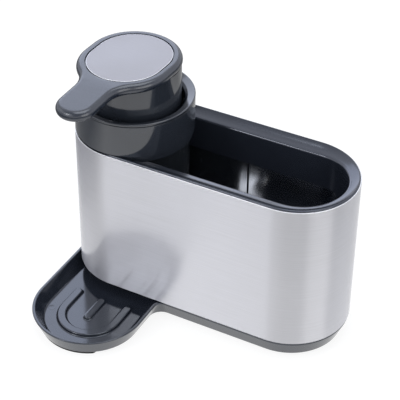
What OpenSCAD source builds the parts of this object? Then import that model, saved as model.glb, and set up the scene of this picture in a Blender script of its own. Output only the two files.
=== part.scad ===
/* [Sleeve] */
// Length of the steel sleeve from end to end
sleeve_l = 219.5; // [210:0.5:260]
// Width of the steel sleeve
sleeve_w = 90; // [76:0.5:104]
// Height of the steel sleeve
sleeve_h = 118.4; // [100:0.1:150]
// Thickness of the steel sheet
steel_t = 0.8; // [0.6:0.1:1]

/* [Base and tray] */
// Height of the moulded base
base_h = 13; // [12:0.5:18]
// How far the base's outer walls lean in towards the bottom
base_lean = 5.2; // [3:0.1:6.5]
// How far the inner walls lean in towards the floor
bowl_lean = 6.1; // [5:0.1:7.5]
// Thickness of the base's wall at its rim
base_wall = 2.5; // [2:0.1:3.2]
// Thickness of the base's floor
floor_t = 3; // [2.4:0.1:4]
// How far the base's rim stands back from the sleeve's face
base_inset = 0.1; // [0:0.05:0.3]
// Height of the shadow gap between the base and the sleeve
reveal = 1; // [0.6:0.1:1.6]
// Chamfer round the bottom of the base
base_edge = 0.6; // [0.4:0.1:1.5]
// How far the tray reaches ahead of the sleeve's front
tray_ahead = 70.2; // [60:0.1:80]
// How far the tray's side stands back from the sleeve's end
tray_inset = 0.6; // [0.3:0.1:2]
// Radius of the hollow corner between the tray and the body
corner_r = 5; // [3:0.5:9]
// Height of the wall that locates the sleeve from inside
locate_h = 8; // [5:0.5:15]
// Thickness of that wall
locate_t = 1.4; // [1:0.1:1.5]
// How far the looped rib stands back from the tray's rim
loop_inset = 18.5; // [16:0.1:22]
// Width of the looped rib
loop_w = 6.6; // [4:0.1:8]
// Height of the ribs in the tray
tray_rib_h = 1.2; // [0.8:0.1:2.5]
// Length of the straight arms of the looped rib
loop_arm = 17.5; // [10:0.5:20]
// Length of the middle rib in the tray
middle_l = 25.4; // [15:0.1:30]
// Width of the middle rib in the tray
middle_w = 6; // [4:0.1:8]
// Distance between the middle rib and the loop round it
middle_gap = 11.7; // [8:0.1:14]
// Width of the bars under the sponge
bar_w = 2.4; // [1.6:0.1:4]
// Height of the bars under the sponge
bar_h = 5; // [3:0.5:8]
// Spacing of the bars under the sponge
bar_pitch = 14; // [10:0.5:20]
// Half the length of the bars under the sponge
bar_reach = 26; // [15:0.5:30]
// How far the raised ring that carries the bottle stands back from its wall
seat_inset = 6.1; // [5.7:0.1:9]
// Thickness of that ring
seat_t = 2.4; // [1.6:0.1:4]
// Height of that ring
seat_h = 10.2; // [9.5:0.1:12]
// Width of the drain slots in that ring
seat_slot = 8; // [5:0.5:12]

/* [Feet] */
// Height of the rubber feet
foot_h = 2; // [1.6:0.1:4]
// Width of the rubber feet
foot_w = 6; // [4:0.5:8]
// How far the feet stand back from the bottom edge
foot_inset = 0.1; // [0:0.1:1]
// Half the angle that a foot spans
foot_angle = 38; // [20:1:45]
// Direction of the rear left foot
rear_foot_angle = 140; // [120:1:160]

/* [Rim liner] */
// Width of the rim along the sides
rim_side = 12.4; // [11:0.1:15]
// Width of the rim at the ends
rim_end = 8.7; // [7:0.1:12]
// Height of the rim's crest over the sleeve
crest_h = 1.2; // [0.8:0.1:2]
// Overlap of the rim on the sleeve's edge
rim_lap = 0.25; // [0.15:0.05:0.4]
// Drop of the rim's slope from crest to opening
rim_drop = 3.3; // [2:0.1:4]
// Thickness of the rim's plate and wall
rim_t = 1.8; // [1.4:0.1:2.2]
// Depth of the wall round the opening
wall_drop = 27; // [15:0.5:50]
// Depth of the plug inside the sleeve
plug_h = 10; // [6:0.5:20]
// Depth of the ledge under the bottle's collar, below the sleeve's edge
ledge_drop = 3.7; // [3.2:0.1:6]

/* [Bottle] */
// How far the bottle's wall stands back from the lip
bottle_inset = 4.3; // [3.7:0.1:5.5]
// Thickness of the bottle's wall
bottle_t = 1.6; // [1.2:0.1:1.8]
// Height of the chamfer round the bottle's bottom
bottle_edge = 3; // [1:0.1:5]
// Depth of the recess under the bottle
bottle_recess = 2; // [1:0.1:4]

/* [Collar and cup] */
// How far the lip on top of the collar stands back from the sleeve's sides
lip_inset = 1; // [0.5:0.1:2]
// Height of the lip over the collar
lip_h = 2.2; // [1.6:0.1:3]
// Width of the lip's sloping top
lip_w = 5.7; // [5:0.1:6.5]
// Drop of the lip's sloping top
lip_drop = 1.9; // [1:0.1:2]
// How far the collar stands back from the lip
collar_inset = 0.1; // [0:0.1:0.5]
// Height of the collar
collar_h = 30.1; // [26:0.1:40]
// How far the collar's foot stands back from its face
spigot_inset = 1; // [0.8:0.1:1.2]
// Wall of the collar
collar_t = 2.5; // [2.3:0.1:2.7]
// Height of the groove under the lip
groove_h = 0.5; // [0.3:0.1:1]
// Depth of the groove under the lip
groove_d = 0.8; // [0.4:0.1:1.2]
// Distance between the cup's bore and the inside of the collar
cup_inset = 5; // [4.6:0.1:5.8]
// Wall of the cup
cup_t = 1.2; // [0.8:0.1:1.3]
// Thickness of the cup's floor
cup_floor_t = 2; // [1.5:0.1:3]
// Height of the bayonet lugs
lug_h = 3; // [2:0.1:4]
// Angle that a bayonet lug spans
lug_angle = 36; // [24:1:50]
// Thickness of the seal on the bottle's mouth
seal_t = 1.4; // [1:0.1:2]

/* [Pump] */
// Travel of the pump head
travel = 16; // [10:0.5:18]
// Clearance of the skirt under the head in the cup
skirt_gap = 2.3; // [1.8:0.1:3.4]
// Wall of the skirt
skirt_t = 1.8; // [1.4:0.1:2.2]
// Length of the skirt inside the cup at rest
skirt_in = 15; // [10:0.5:18]
// Height of the head's underside over the lip
head_gap = 23.2; // [21:0.1:30]
// Radius of the pump stem
stem_r = 4; // [3.5:0.1:4.4]
// Radius of the liquid's way through the stem
stem_bore = 1.6; // [1.2:0.1:2]
// Inner radius of the pump chamber
chamber_r = 7; // [6.4:0.1:7.6]
// Wall of the pump chamber
chamber_t = 1.4; // [1:0.1:1.8]
// Length of the chamber from its mouth to the spring's seat
chamber_l = 49.6; // [46:0.1:60]
// Radius of the chamber's flange
flange_r = 12.5; // [11:0.1:14]
// Thickness of the chamber's flange
flange_t = 1.6; // [1.2:0.1:2.4]
// Thickness of the seal under the flange
flange_seal_t = 1; // [0.6:0.1:1.5]
// Radius of the lower check ball
inlet_ball_r = 2.6; // [2.4:0.1:2.8]
// Radius of the upper check ball
outlet_ball_r = 1.9; // [1.7:0.1:2]
// Outer radius of the dip tube
dip_r = 3.2; // [2.8:0.1:3.4]
// Wall of the dip tube
dip_t = 0.9; // [0.6:0.1:1.1]
// Radius of the spring's coil at the middle of its wire
coil_r = 5.3; // [5:0.1:5.6]
// Radius of the spring's wire
wire_r = 0.45; // [0.3:0.05:0.6]
// Number of the spring's turns
coil_turns = 9; // [7:1:11]

/* [Head] */
// Turn of the head and its spout, seen from above
head_turn = -2.4; // [-180:0.1:180]
// How far the head's round ends stand out over the skirt
head_over = 0.65; // [0.6:0.05:1.9]
// How far the head's front end lies ahead of the pump's axis
head_ahead = 10.7; // [6:0.1:14]
// Thickness of the head
head_t = 8; // [7:0.1:10]
// Distance from the pump's axis to the tip of the spout
spout_reach = 85.7; // [80:0.1:95]
// Half the width of the spout
spout_r = 14.5; // [12:0.1:17]
// Radius of the hollow corners between the head and the spout
spout_corner = 22.6; // [14:0.1:26]
// Droop of the spout
spout_droop = 2.75; // [0:0.05:4]
// Height of the head's lower shell at its edge
lower_h = 1.8; // [1.4:0.1:2.4]
// Wall of the head's upper shell
head_wall = 2.4; // [1.8:0.1:2.8]
// How far the steel plate's edge stands back from the head's
plate_inset = 6.55; // [5:0.05:9]
// Thickness of the steel plate
plate_t = 0.8; // [0.5:0.1:1.2]
// Gap round the steel plate
plate_gap = 0.15; // [0.1:0.05:0.3]
// Width of the liquid channel
channel_w = 9; // [8:0.1:10]
// Height of the liquid channel
channel_h = 3.1; // [2.6:0.1:3.4]
// Radius of the outlet under the spout's tip
outlet_r = 2.6; // [2.2:0.1:3]
// Length of the outlet below the head's underside
outlet_drop = 2; // [1:0.1:3]

/* [Hidden] */
$fn = 96;
over = 1;          // overrun of every cut
gap = 0.3;         // between pieces that move apart
run = 0.05;        // running fit
snug = 0.2;        // between pieces that stay together
easy = 0.6;        // round the bottle where it drops in

// Small sizes of single pieces
lug_gap = 0.4;     // collar and bottle lugs, from the wall opposite
press_room = 1.2;  // under the skirt when the head is down
cage_room = 0.6;   // round the lower ball
cage_h = 6;
valve_t = 2;
socket_l = 12;
guide_l = 5.6;
guide_h = 8;
piston_h = 8;
seal_lip = 0.6;
stem_room = 0.3;   // round the upper ball
stem_room_h = 5.4;
stem_foot = 1.9;   // under the upper valve's seat
boss_t = 3;
boss_l = 9.2;
shoulder_h = 1.6;
shoulder_w = 1.4;
step_h = 1;        // upper step of the lower shell
step_w = 1;        // its lower step's set-back
channel_t = 1.1;
outlet_t = 0.9;
seat_share = 0.7;  // hole of a ball's seat, to the ball
closed_share = 1.05; // pitch of the closed turns, to the wire

// Levels from the ground up
base_z = foot_h;
floor_z = base_z + floor_t;
base_top = base_z + base_h;
sleeve_z = base_top + reveal;
sleeve_top = sleeve_z + sleeve_h;
ledge_z = sleeve_top - ledge_drop;
collar_z = ledge_z + gap;
collar_top = collar_z + collar_h;
lip_top = collar_top + lip_h;
head_z = lip_top + head_gap;
head_mid = head_z + head_t / 2;
head_top = head_z + head_t;
part_z = head_z + lower_h;

// Plan of the body
body_r = sleeve_w / 2;
spine = (sleeve_l - sleeve_w) / 2;
steel_in = body_r - steel_t;
lip_r = body_r - lip_inset;
bottle_r = lip_r - bottle_inset;
bottle_x = lip_r - sleeve_l / 2;
origin_y = tray_ahead / 2;

// Base
base_r = body_r - base_inset;
tray_r = lip_r - tray_inset;
tray_y = tray_r - body_r - tray_ahead;
loop_r = tray_r - loop_inset;
seat_r = bottle_r - seat_inset;
locate_r = steel_in - snug;
bowl_r = base_r - base_wall;
mouth_x = bottle_x + tray_r + corner_r;
mouth_y = -sqrt(pow(bowl_r, 2) - pow(bottle_x - tray_r + base_wall + spine, 2));
seat_z = floor_z + seat_h;
foot_r = base_r - base_lean - base_edge - foot_inset - foot_w / 2;
tray_foot_r = tray_r - base_lean - base_edge - foot_inset;
middle_y = tray_y - loop_r + loop_w + middle_gap + middle_w / 2;
bars = 1 + floor((spine - bottle_x - bottle_r - bar_w) / bar_pitch);

// Rim
flange_edge = steel_in + rim_lap;
crest_r = flange_edge - crest_h;
crest_z = sleeve_top + crest_h;
open_r = body_r - rim_side;
open_s = sleeve_l / 2 - rim_end - open_r;
under_r = open_r - rim_side / 2;
wall_z = crest_z - rim_drop - wall_drop;
rim_slope = rim_drop / (crest_r - open_r);
plug_r = steel_in - snug;
pocket_r = lip_r - collar_inset + gap;
well_r = bottle_r + easy;
lap_x = bottle_x + sqrt(pow(pocket_r, 2) - pow(crest_r, 2));

// Bottle, collar and cup
collar_r = lip_r - collar_inset;
collar_in = collar_r - collar_t;
cup_r = collar_in - cup_inset;
skirt_r = cup_r - skirt_gap;
spigot_r = collar_r - spigot_inset;
spigot_z = sleeve_top + gap;
flange_under = collar_top - groove_h - seal_t + snug;
seal_bottom = flange_under - seal_t;
bottle_top = seal_bottom - gap;
bottle_in = bottle_r - bottle_t;
bottle_floor = seat_z + gap;
bottle_z = bottle_floor - bottle_recess;
bottle_foot_r = seat_r + easy;
mouth_r = lip_r - lip_w;
lug_r = collar_in - lug_gap;
collar_lug_r = bottle_r + lug_gap;
lug_top = bottle_top - 2 * lug_h;
skirt_z = lip_top - skirt_in;
cup_floor = skirt_z - travel - press_room;
cup_z = cup_floor - cup_floor_t;
cup_hole = chamber_r + chamber_t + snug;

// Pump
seal_z = cup_floor + flange_seal_t;
chamber_mouth = seal_z + flange_t;
spring_z = chamber_mouth - chamber_l;
chamber_out = chamber_r + chamber_t;
cage_r = inlet_ball_r + cage_room;
cage_out = max(cage_r, dip_r) + chamber_t;
valve_z = spring_z - cage_h;
socket_z = valve_z - valve_t - socket_l;
inlet_hole = inlet_ball_r * seat_share;
catch_r = inlet_ball_r - gap;
catch_z = spring_z - chamber_t / 2;
guide_plug = chamber_r - 2 * run;
piston_top = chamber_mouth - guide_l - 2 * gap;
piston_z = piston_top - piston_h;
piston_r = chamber_r - seal_lip;
outlet_hole = outlet_ball_r * seat_share;
outlet_room = outlet_ball_r + stem_room;
stem_seat_z = piston_z + stem_foot;
stem_top = part_z - gap;
boss_r = stem_r + boss_t;
boss_z = part_z - boss_l - lower_h;
shoulder_z = boss_z - gap;
shoulder_r = stem_r + shoulder_w;
dip_z = bottle_floor + bottle_t + dip_r;

// Head, in its own plan: the pump's axis at the origin, the spout towards -Y
edge_r = head_t / 2;
head_r = skirt_r + head_over;
plate_r = head_r - plate_inset;
spout_join = head_ahead + head_r;
corner_x = spout_r + spout_corner;
corner_y = -head_ahead - sqrt(pow(head_r + spout_corner, 2) - pow(corner_x, 2));
corner_a = atan2(-head_ahead - corner_y, corner_x);
tip_y = spout_r - spout_reach;
cavity_z = part_z + channel_h + snug;
outlet_y = tip_y;
plate_z = head_top - plate_t - run;
step_z = part_z - step_h;

// Points on an arc about c from angle a0 to a1, in n steps; skip leaves out that many at the start and end
function arc(c, r, a0, a1, n, skip = [0, 0]) =
    [for (i = [skip[0]:n - skip[1]]) let (a = a0 + (a1 - a0) * i / n) c + r * [cos(a), sin(a)]];

// Angle in the hollow corner, drawn in by d, at which the spout starts to droop
function bend(d) = asin((-spout_join - corner_y) / (spout_corner + d));

// Outline of the head, drawn in by d: the level part from bend to bend, then the spout
function level_outline(d) = concat(
    arc([corner_x, corner_y], spout_corner + d, 180 - bend(d), 180 - corner_a, 6),
    arc([0, -head_ahead], head_r - d, 360 - corner_a, 360, 12, [1, 0]),
    arc([0, 0], head_r - d, 0, 180, 40),
    arc([0, -head_ahead], head_r - d, 180, 180 + corner_a, 12, [0, 1]),
    arc([-corner_x, corner_y], spout_corner + d, corner_a, bend(d), 6)
);

function spout_outline(d) = concat(
    arc([-corner_x, corner_y], spout_corner + d, bend(d), 0, 6, [1, 0]),
    arc([0, tip_y], spout_r - d, 180, 360, 32),
    arc([corner_x, corner_y], spout_corner + d, 180, 180 - bend(d), 6, [0, 1])
);

function head_outline(d) = concat(level_outline(d), spout_outline(d));

// How far the round edge stands back from the outline at height z
function edge_in(z) = edge_r - sqrt(pow(edge_r, 2) - pow(z - head_mid, 2));

// How far the spout's droop lowers a point
function droop(p) = tan(spout_droop) * max(0, -p[1] - spout_join);

function head_ring(d, z) = [for (p = head_outline(d)) [p[0], p[1], z - droop(p)]];

// Solid through rings of equally many points, from the lowest up; its end faces may bend after point cut
module loft(rings, cut = 0) {
    n = len(rings[0]);
    m = len(rings);
    sides = [for (k = [0:m - 2], i = [0:n - 1]) let (a = k * n + i, b = k * n + (i + 1) % n)
        each [[a, a + n, b + n], [a, b + n, b]]];
    ends = cut == 0 ? [[for (i = [0:n - 1]) i]] : [[for (i = [0:cut]) i], [for (i = [cut:n]) i % n]];
    top = [for (e = ends) [for (i = [len(e) - 1:-1:0]) (m - 1) * n + e[i]]];
    polyhedron([for (r = rings) each r], concat(ends, sides, top));
}

// A section of radius and height, swept round a stadium whose straight sides are 2 s long
module stadium_sweep(s) {
    for (turn = [-90, 90])
        rotate(turn) translate([0, s, 0]) rotate_extrude(angle = 180) children();
    for (side = [0, 1])
        mirror([0, side, 0]) translate([-s, 0, 0]) rotate([90, 0, 90]) linear_extrude(2 * s) children();
}

module stadium(s, r) {
    for (side = [-1, 1]) translate([side * s, 0]) circle(r);
    translate([-s, -r]) square([2 * s, 2 * r]);
}

module stadium_prism(s, r, z0, z1) {
    translate([0, 0, z0]) linear_extrude(z1 - z0) stadium(s, r);
}

// A rectangle in radius and height
module band(r0, r1, z0, z1) {
    translate([r0, z0]) square([r1 - r0, z1 - z0]);
}

module ring(r0, r1, z0, z1) {
    rotate_extrude() band(r0, r1, z0, z1);
}

module at_bottle() {
    translate([bottle_x, 0, 0]) children();
}

module at_head() {
    at_bottle() rotate(head_turn) children();
}

module place() {
    translate([0, origin_y, 0]) children();
}

// Solid in the base's outline, drawn in by d0 at height z0 and by d1 at z1: the body, the tray and the
// hollow corner
module base_form(d0, z0, d1, z1) {
    for (side = [-1, 1])
        translate([side * spine, 0, z0]) cylinder(r1 = base_r - d0, r2 = base_r - d1, h = z1 - z0);
    translate([-spine, 0, 0]) rotate([90, 0, 90]) linear_extrude(2 * spine)
        polygon([[d0 - base_r, z0], [base_r - d0, z0], [base_r - d1, z1], [d1 - base_r, z1]]);
    translate([bottle_x, tray_y, z0]) cylinder(r1 = tray_r - d0, r2 = tray_r - d1, h = z1 - z0);
    translate([bottle_x, 0, 0]) rotate([90, 0, 0]) linear_extrude(-tray_y)
        polygon([[d0 - tray_r, z0], [tray_r - d0, z0], [tray_r - d1, z1], [d1 - tray_r, z1]]);
    difference() {
        translate([bottle_x, -base_r - corner_r, z0])
            cube([mouth_x - bottle_x, base_r + corner_r, z1 - z0]);
        translate([mouth_x, -base_r - corner_r, z0])
            cylinder(r1 = corner_r + d0, r2 = corner_r + d1, h = z1 - z0);
    }
}

// How far the inner wall stands back from the outline at height z
function bowl_in(z) = base_wall + bowl_lean * (base_top - z) / (base_top - floor_z);

// The base: a dished moulding whose tray reaches forward under the spout
module base_outside() {
    edge_in = base_lean * (base_h - base_edge) / base_h;
    base_form(base_lean + base_edge, base_z, edge_in, base_z + base_edge);
    base_form(edge_in, base_z + base_edge, 0, base_top);
}

module base_hollow() {
    base_form(bowl_in(floor_z), floor_z, bowl_in(base_top + over), base_top + over);
}

module loop_rib() {
    difference() {
        union() {
            circle(loop_r);
            translate([-loop_r, 0]) square([2 * loop_r, loop_arm]);
        }
        circle(loop_r - loop_w);
        translate([loop_w - loop_r, 0]) square([2 * (loop_r - loop_w), loop_arm + over]);
    }
    for (side = [-1, 1])
        translate([side * (loop_r - loop_w / 2), loop_arm]) circle(loop_w / 2);
}

module middle_rib() {
    for (end = [0, 1]) translate([0, end * (middle_l - middle_w)]) circle(middle_w / 2);
    translate([-middle_w / 2, 0]) square([middle_w, middle_l - middle_w]);
}

module tray_ribs() {
    translate([bottle_x, tray_y, floor_z - over]) linear_extrude(tray_rib_h + over) loop_rib();
    translate([bottle_x, middle_y, floor_z - over]) linear_extrude(tray_rib_h + over) middle_rib();
}

module sponge_bars() {
    for (i = [0:bars - 1])
        translate([spine - i * bar_pitch - bar_w / 2, -bar_reach, floor_z - over])
            cube([bar_w, 2 * bar_reach, bar_h + over]);
}

module bottle_seat() {
    difference() {
        ring(seat_r - seat_t, seat_r, floor_z - over, seat_z);
        for (turn = [0, 90])
            rotate(turn) translate([-seat_r - over, -seat_slot / 2, floor_z])
                cube([2 * (seat_r + over), seat_slot, seat_h + over]);
    }
}

// Wall inside the sleeve's foot, with the ledge that the sleeve stands on; both stop at the tray's mouth
module sleeve_locator() {
    difference() {
        stadium_sweep(spine) {
            band(locate_r - locate_t, locate_r, base_top - over, sleeve_z + locate_h);
            band(locate_r - locate_t, steel_in + rim_lap, base_top - over, sleeve_z);
        }
        translate([mouth_x - sleeve_l, mouth_y - body_r, base_top - 2 * over])
            cube([sleeve_l, body_r, reveal + locate_h + 3 * over]);
    }
}

module base_tray() color([0.22, 0.23, 0.26]) {
    difference() {
        base_outside();
        base_hollow();
    }
    tray_ribs();
    sponge_bars();
    at_bottle() bottle_seat();
    sleeve_locator();
}

module arc_foot(r, turn) {
    rotate(turn - foot_angle) rotate_extrude(angle = 2 * foot_angle) band(r - foot_w, r, 0, foot_h);
}

module tray_foot() color([0.1, 0.1, 0.11]) translate([bottle_x, tray_y, 0]) arc_foot(tray_foot_r, -90);

module base_feet() color([0.1, 0.1, 0.11]) {
    translate([spine, 0, 0]) arc_foot(foot_r, 0);
    translate([-spine, 0, 0]) arc_foot(foot_r, rear_foot_angle);
}

module steel_sleeve() color([0.78, 0.78, 0.8]) stadium_sweep(spine) {
    band(steel_in, body_r, sleeve_z, sleeve_top - steel_t);
    intersection() {
        band(steel_in, body_r, sleeve_top - steel_t - over, sleeve_top);
        translate([steel_in, sleeve_top - steel_t]) circle(steel_t);
    }
}

// Everything under the rim's top surface, from the wall's lower edge up
module rim_envelope() {
    stadium_sweep(spine) {
        polygon([
            [under_r, wall_z], [plug_r, wall_z], [plug_r, sleeve_top], [crest_r, sleeve_top],
            [crest_r, crest_z], [under_r, crest_z - rim_slope * (crest_r - under_r)]
        ]);
        intersection() {
            band(crest_r, flange_edge, sleeve_top, crest_z);
            translate([crest_r, sleeve_top]) circle(crest_h);
        }
    }
}

// The space between the rim's plug, its plate and the wall round the opening
module rim_hollow() {
    r0 = under_r - over;
    r1 = plug_r - rim_t;
    difference() {
        stadium_sweep(spine) {
            band(r0, plug_r + over, wall_z - over, sleeve_top - plug_h);
            polygon([
                [r0, wall_z], [r1, wall_z], [r1, crest_z - rim_t - rim_slope * (crest_r - r1)],
                [r0, crest_z - rim_t - rim_slope * (crest_r - r0)]
            ]);
        }
        stadium_prism(open_s, open_r + rim_t, wall_z - 2 * over, crest_z + over);
        at_bottle() ring(0, pocket_r + rim_t, ledge_z - rim_t, crest_z + over);
    }
}

module rim_liner() color([0.2, 0.21, 0.24]) difference() {
    rim_envelope();
    stadium_prism(open_s, open_r, wall_z - over, crest_z + over);
    rim_hollow();
    translate([lap_x - sleeve_l, -sleeve_w, sleeve_top]) cube([sleeve_l, 2 * sleeve_w, crest_h + over]);
    at_bottle() translate([0, 0, ledge_z]) cylinder(r = pocket_r, h = crest_z - ledge_z + over);
    at_bottle() translate([0, 0, wall_z - over]) cylinder(r = well_r, h = crest_z - wall_z + 2 * over);
}

// One of the three lugs of the bayonet, turned into place
module lugs(r0, r1, z0, z1) {
    for (turn = [0:120:240])
        rotate(turn - lug_angle / 2) rotate_extrude(angle = lug_angle) band(r0, r1, z0, z1);
}

module soap_bottle() color([0.13, 0.14, 0.16]) at_bottle() {
    rotate_extrude() polygon([
        [0, bottle_floor], [bottle_foot_r, bottle_floor], [bottle_foot_r, bottle_z],
        [bottle_r - bottle_edge, bottle_z], [bottle_r, bottle_z + bottle_edge], [bottle_r, bottle_top],
        [bottle_in, bottle_top], [bottle_in, bottle_floor + bottle_t], [0, bottle_floor + bottle_t]
    ]);
    lugs(bottle_in + run, lug_r, lug_top - lug_h, lug_top);
}

module lid_collar() color([0.2, 0.21, 0.24]) at_bottle() {
    rotate_extrude() polygon([
        [collar_in, collar_z], [spigot_r, collar_z], [spigot_r, spigot_z],
        [collar_r, spigot_z + spigot_inset], [collar_r, collar_top - groove_h],
        [collar_r - groove_d, collar_top - groove_h],
        [collar_r - groove_d, collar_top], [collar_in, collar_top]
    ]);
    lugs(collar_lug_r, collar_in + run, lug_top - 2 * lug_h - gap, lug_top - lug_h - gap);
}

module pump_cup() color([0.2, 0.21, 0.24]) at_bottle() rotate_extrude() polygon([
    [mouth_r, lip_top - lip_drop], [lip_r - groove_d, lip_top], [lip_r, lip_top - groove_d],
    [lip_r, collar_top], [collar_in - snug, collar_top], [collar_in - snug, flange_under],
    [cup_r + cup_t, flange_under], [cup_r + cup_t, cup_z], [cup_hole, cup_z], [cup_hole, cup_floor],
    [cup_r, cup_floor], [cup_r, lip_top - lip_drop - (mouth_r - cup_r)]
]);

module lid_gasket() color([0.1, 0.1, 0.1]) at_bottle()
    ring(bottle_in, collar_in - snug - gap, seal_bottom, flange_under);

// The chamber hangs by its flange and ends in the lower valve and the tube's socket
module pump_chamber() color([0.88, 0.88, 0.86]) at_bottle() rotate_extrude() polygon([
    [chamber_r, chamber_mouth], [flange_r, chamber_mouth], [flange_r, seal_z], [chamber_out, seal_z],
    [chamber_out, spring_z - chamber_t], [cage_out, spring_z - chamber_t - (chamber_out - cage_out)],
    [cage_out, socket_z], [dip_r, socket_z], [dip_r, valve_z - valve_t], [inlet_hole, valve_z - valve_t],
    [inlet_hole, valve_z], [cage_r, valve_z], [cage_r, catch_z], [catch_r, catch_z],
    [catch_r, spring_z], [chamber_r, spring_z]
]);

module chamber_gasket() color([0.1, 0.1, 0.1]) at_bottle()
    ring(cup_hole, flange_r, cup_floor, seal_z);

module stem_guide() color([0.85, 0.85, 0.84]) at_bottle() rotate_extrude() polygon([
    [stem_r + run, chamber_mouth - guide_l], [guide_plug, chamber_mouth - guide_l],
    [guide_plug, chamber_mouth], [flange_r, chamber_mouth], [flange_r, chamber_mouth + flange_t],
    [chamber_r, chamber_mouth + flange_t], [chamber_r, chamber_mouth + guide_h],
    [stem_r + run, chamber_mouth + guide_h]
]);

module dip_tube() color([0.9, 0.9, 0.88]) at_bottle()
    ring(dip_r - dip_t, dip_r, dip_z, valve_z - valve_t);

function ball_height(ball, hole) = sqrt(ball * ball - hole * hole);

module inlet_ball() color([0.7, 0.72, 0.75]) at_bottle()
    translate([0, 0, valve_z + ball_height(inlet_ball_r, inlet_hole) + run]) sphere(inlet_ball_r);

// Height of the coil at turn t: closed turns at both ends, open ones between
function coil_z(t, h) = let (w = 2 * wire_r * closed_share)
    t < 1 ? t * w : t > coil_turns - 1 ? h - (coil_turns - t) * w :
    w + (t - 1) * (h - 2 * w) / (coil_turns - 2);

module return_spring() color([0.7, 0.7, 0.72]) at_bottle() {
    h = piston_z - spring_z - 2 * wire_r - gap;
    z0 = spring_z + wire_r + gap / 2;
    steps = 8;
    sides = 6;
    rings = [for (i = [0:coil_turns * steps]) let (t = i / steps, a = 360 * t)
        [for (k = [0:sides - 1]) let (b = 360 * k / sides, r = coil_r + wire_r * cos(b))
            [r * cos(a), r * sin(a), z0 + coil_z(t, h) + wire_r * sin(b)]]];
    loft([for (i = [len(rings) - 1:-1:0]) rings[i]]);
}

module pump_stem() color([0.86, 0.86, 0.85]) at_bottle() rotate_extrude() polygon([
    [outlet_hole, piston_z], [stem_r, piston_z], [stem_r, shoulder_z - shoulder_h],
    [shoulder_r, shoulder_z - shoulder_h], [shoulder_r, shoulder_z], [stem_r, shoulder_z],
    [stem_r, stem_top], [stem_bore, stem_top], [stem_bore, stem_seat_z + stem_room_h],
    [outlet_room, stem_seat_z + stem_room_h], [outlet_room, stem_seat_z], [outlet_hole, stem_seat_z]
]);

module piston() color([0.8, 0.8, 0.8]) at_bottle()
    ring(stem_r, piston_r, piston_z, piston_top);

module piston_seal() color([0.15, 0.15, 0.15]) at_bottle()
    ring(piston_r, chamber_r - run, piston_z + piston_h / 3, piston_top - piston_h / 3);

module outlet_ball() color([0.7, 0.72, 0.75]) at_bottle()
    translate([0, 0, stem_seat_z + ball_height(outlet_ball_r, outlet_hole) + run]) sphere(outlet_ball_r);

// Flat shape of the head, drawn in by d, with the spout's corners cut from the triangle between the
// round centres
module head_flat(d) {
    plate_outline(head_r - d);
    difference() {
        polygon([[0, -head_ahead], [-corner_x, corner_y], [corner_x, corner_y]]);
        for (side = [-1, 1]) translate([side * corner_x, corner_y]) circle(spout_corner + d);
    }
    translate([0, tip_y]) circle(spout_r - d);
    translate([d - spout_r, tip_y]) square([2 * (spout_r - d), corner_y - tip_y + over]);
}

// Children are drawn along the spout as if it were level, with the head's parting plane at height 0
module along_spout() {
    translate([0, -spout_join, part_z]) rotate([spout_droop, 0, 0])
        translate([0, spout_join, 0]) children();
}

// A plate of the head, drawn in by d, that bends where the spout starts to droop; the spout's
// plate starts a little inside the level one
module drooping_plate(d, t) {
    translate([0, 0, part_z - t]) linear_extrude(t) intersection() {
        head_flat(d);
        translate([-head_r, -spout_join]) square([2 * head_r, spout_join + head_r]);
    }
    along_spout() translate([0, 0, -t - run]) linear_extrude(t) intersection() {
        head_flat(d + 2 * run);
        translate([-head_r, -spout_reach]) square([2 * head_r, spout_reach - spout_join + over / 2]);
    }
}

// Lower shell of the head: its underside, the skirt that sinks in the cup and the stem's socket
module head_housing() color([0.2, 0.21, 0.24]) at_head() difference() {
    union() {
        drooping_plate(edge_in(step_z), step_h);
        drooping_plate(edge_in(step_z) + step_w, lower_h);
        ring(skirt_r - skirt_t, skirt_r, skirt_z, part_z);
        translate([0, 0, boss_z]) cylinder(r = boss_r, h = part_z - boss_z);
    }
    translate([0, 0, boss_z - over]) cylinder(r = stem_r + run, h = part_z - boss_z + 2 * over);
    along_spout() translate([0, outlet_y, -lower_h - over])
        cylinder(r = outlet_r + snug, h = lower_h + 2 * over);
}

// Upper shell of the head, with a full round edge and the recess for the plate
module head_shell() color([0.3, 0.31, 0.34]) at_head() {
    a0 = asin((part_z - head_mid) / edge_r);
    steps = 8;
    cut = len(level_outline(0)) - 1;
    difference() {
        loft([for (i = [0:steps]) let (a = a0 + (90 - a0) * i / steps)
            head_ring(edge_r * (1 - cos(a)), head_mid + edge_r * sin(a))], cut);
        loft([head_ring(head_wall, part_z - over), head_ring(head_wall, cavity_z)], cut);
        translate([0, 0, plate_z]) linear_extrude(plate_t + over) plate_outline(plate_r + plate_gap);
    }
}

module plate_outline(r) {
    circle(r);
    translate([0, -head_ahead]) circle(r);
    translate([-r, -head_ahead]) square([2 * r, head_ahead]);
}

module head_inlay() color([0.8, 0.8, 0.82]) at_head()
    translate([0, 0, plate_z]) linear_extrude(plate_t) plate_outline(plate_r);

// A box along the spout: half its width, its two ends in y and its two levels
module bar_along(half, y0, y1, z0, z1) {
    translate([-half, y0, z0]) cube([2 * half, y1 - y0, z1 - z0]);
}

// Flat channel that carries the liquid from the stem to the outlet, with t taken off all round
module channel(t) {
    half = channel_w / 2 - t;
    translate([0, 0, part_z])
        bar_along(half, -spout_join, stem_r + channel_t - t, run + t, channel_h - t);
    along_spout()
        bar_along(half, outlet_y - channel_w / 2 + t, over - spout_join, run + t, channel_h - t);
}

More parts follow.
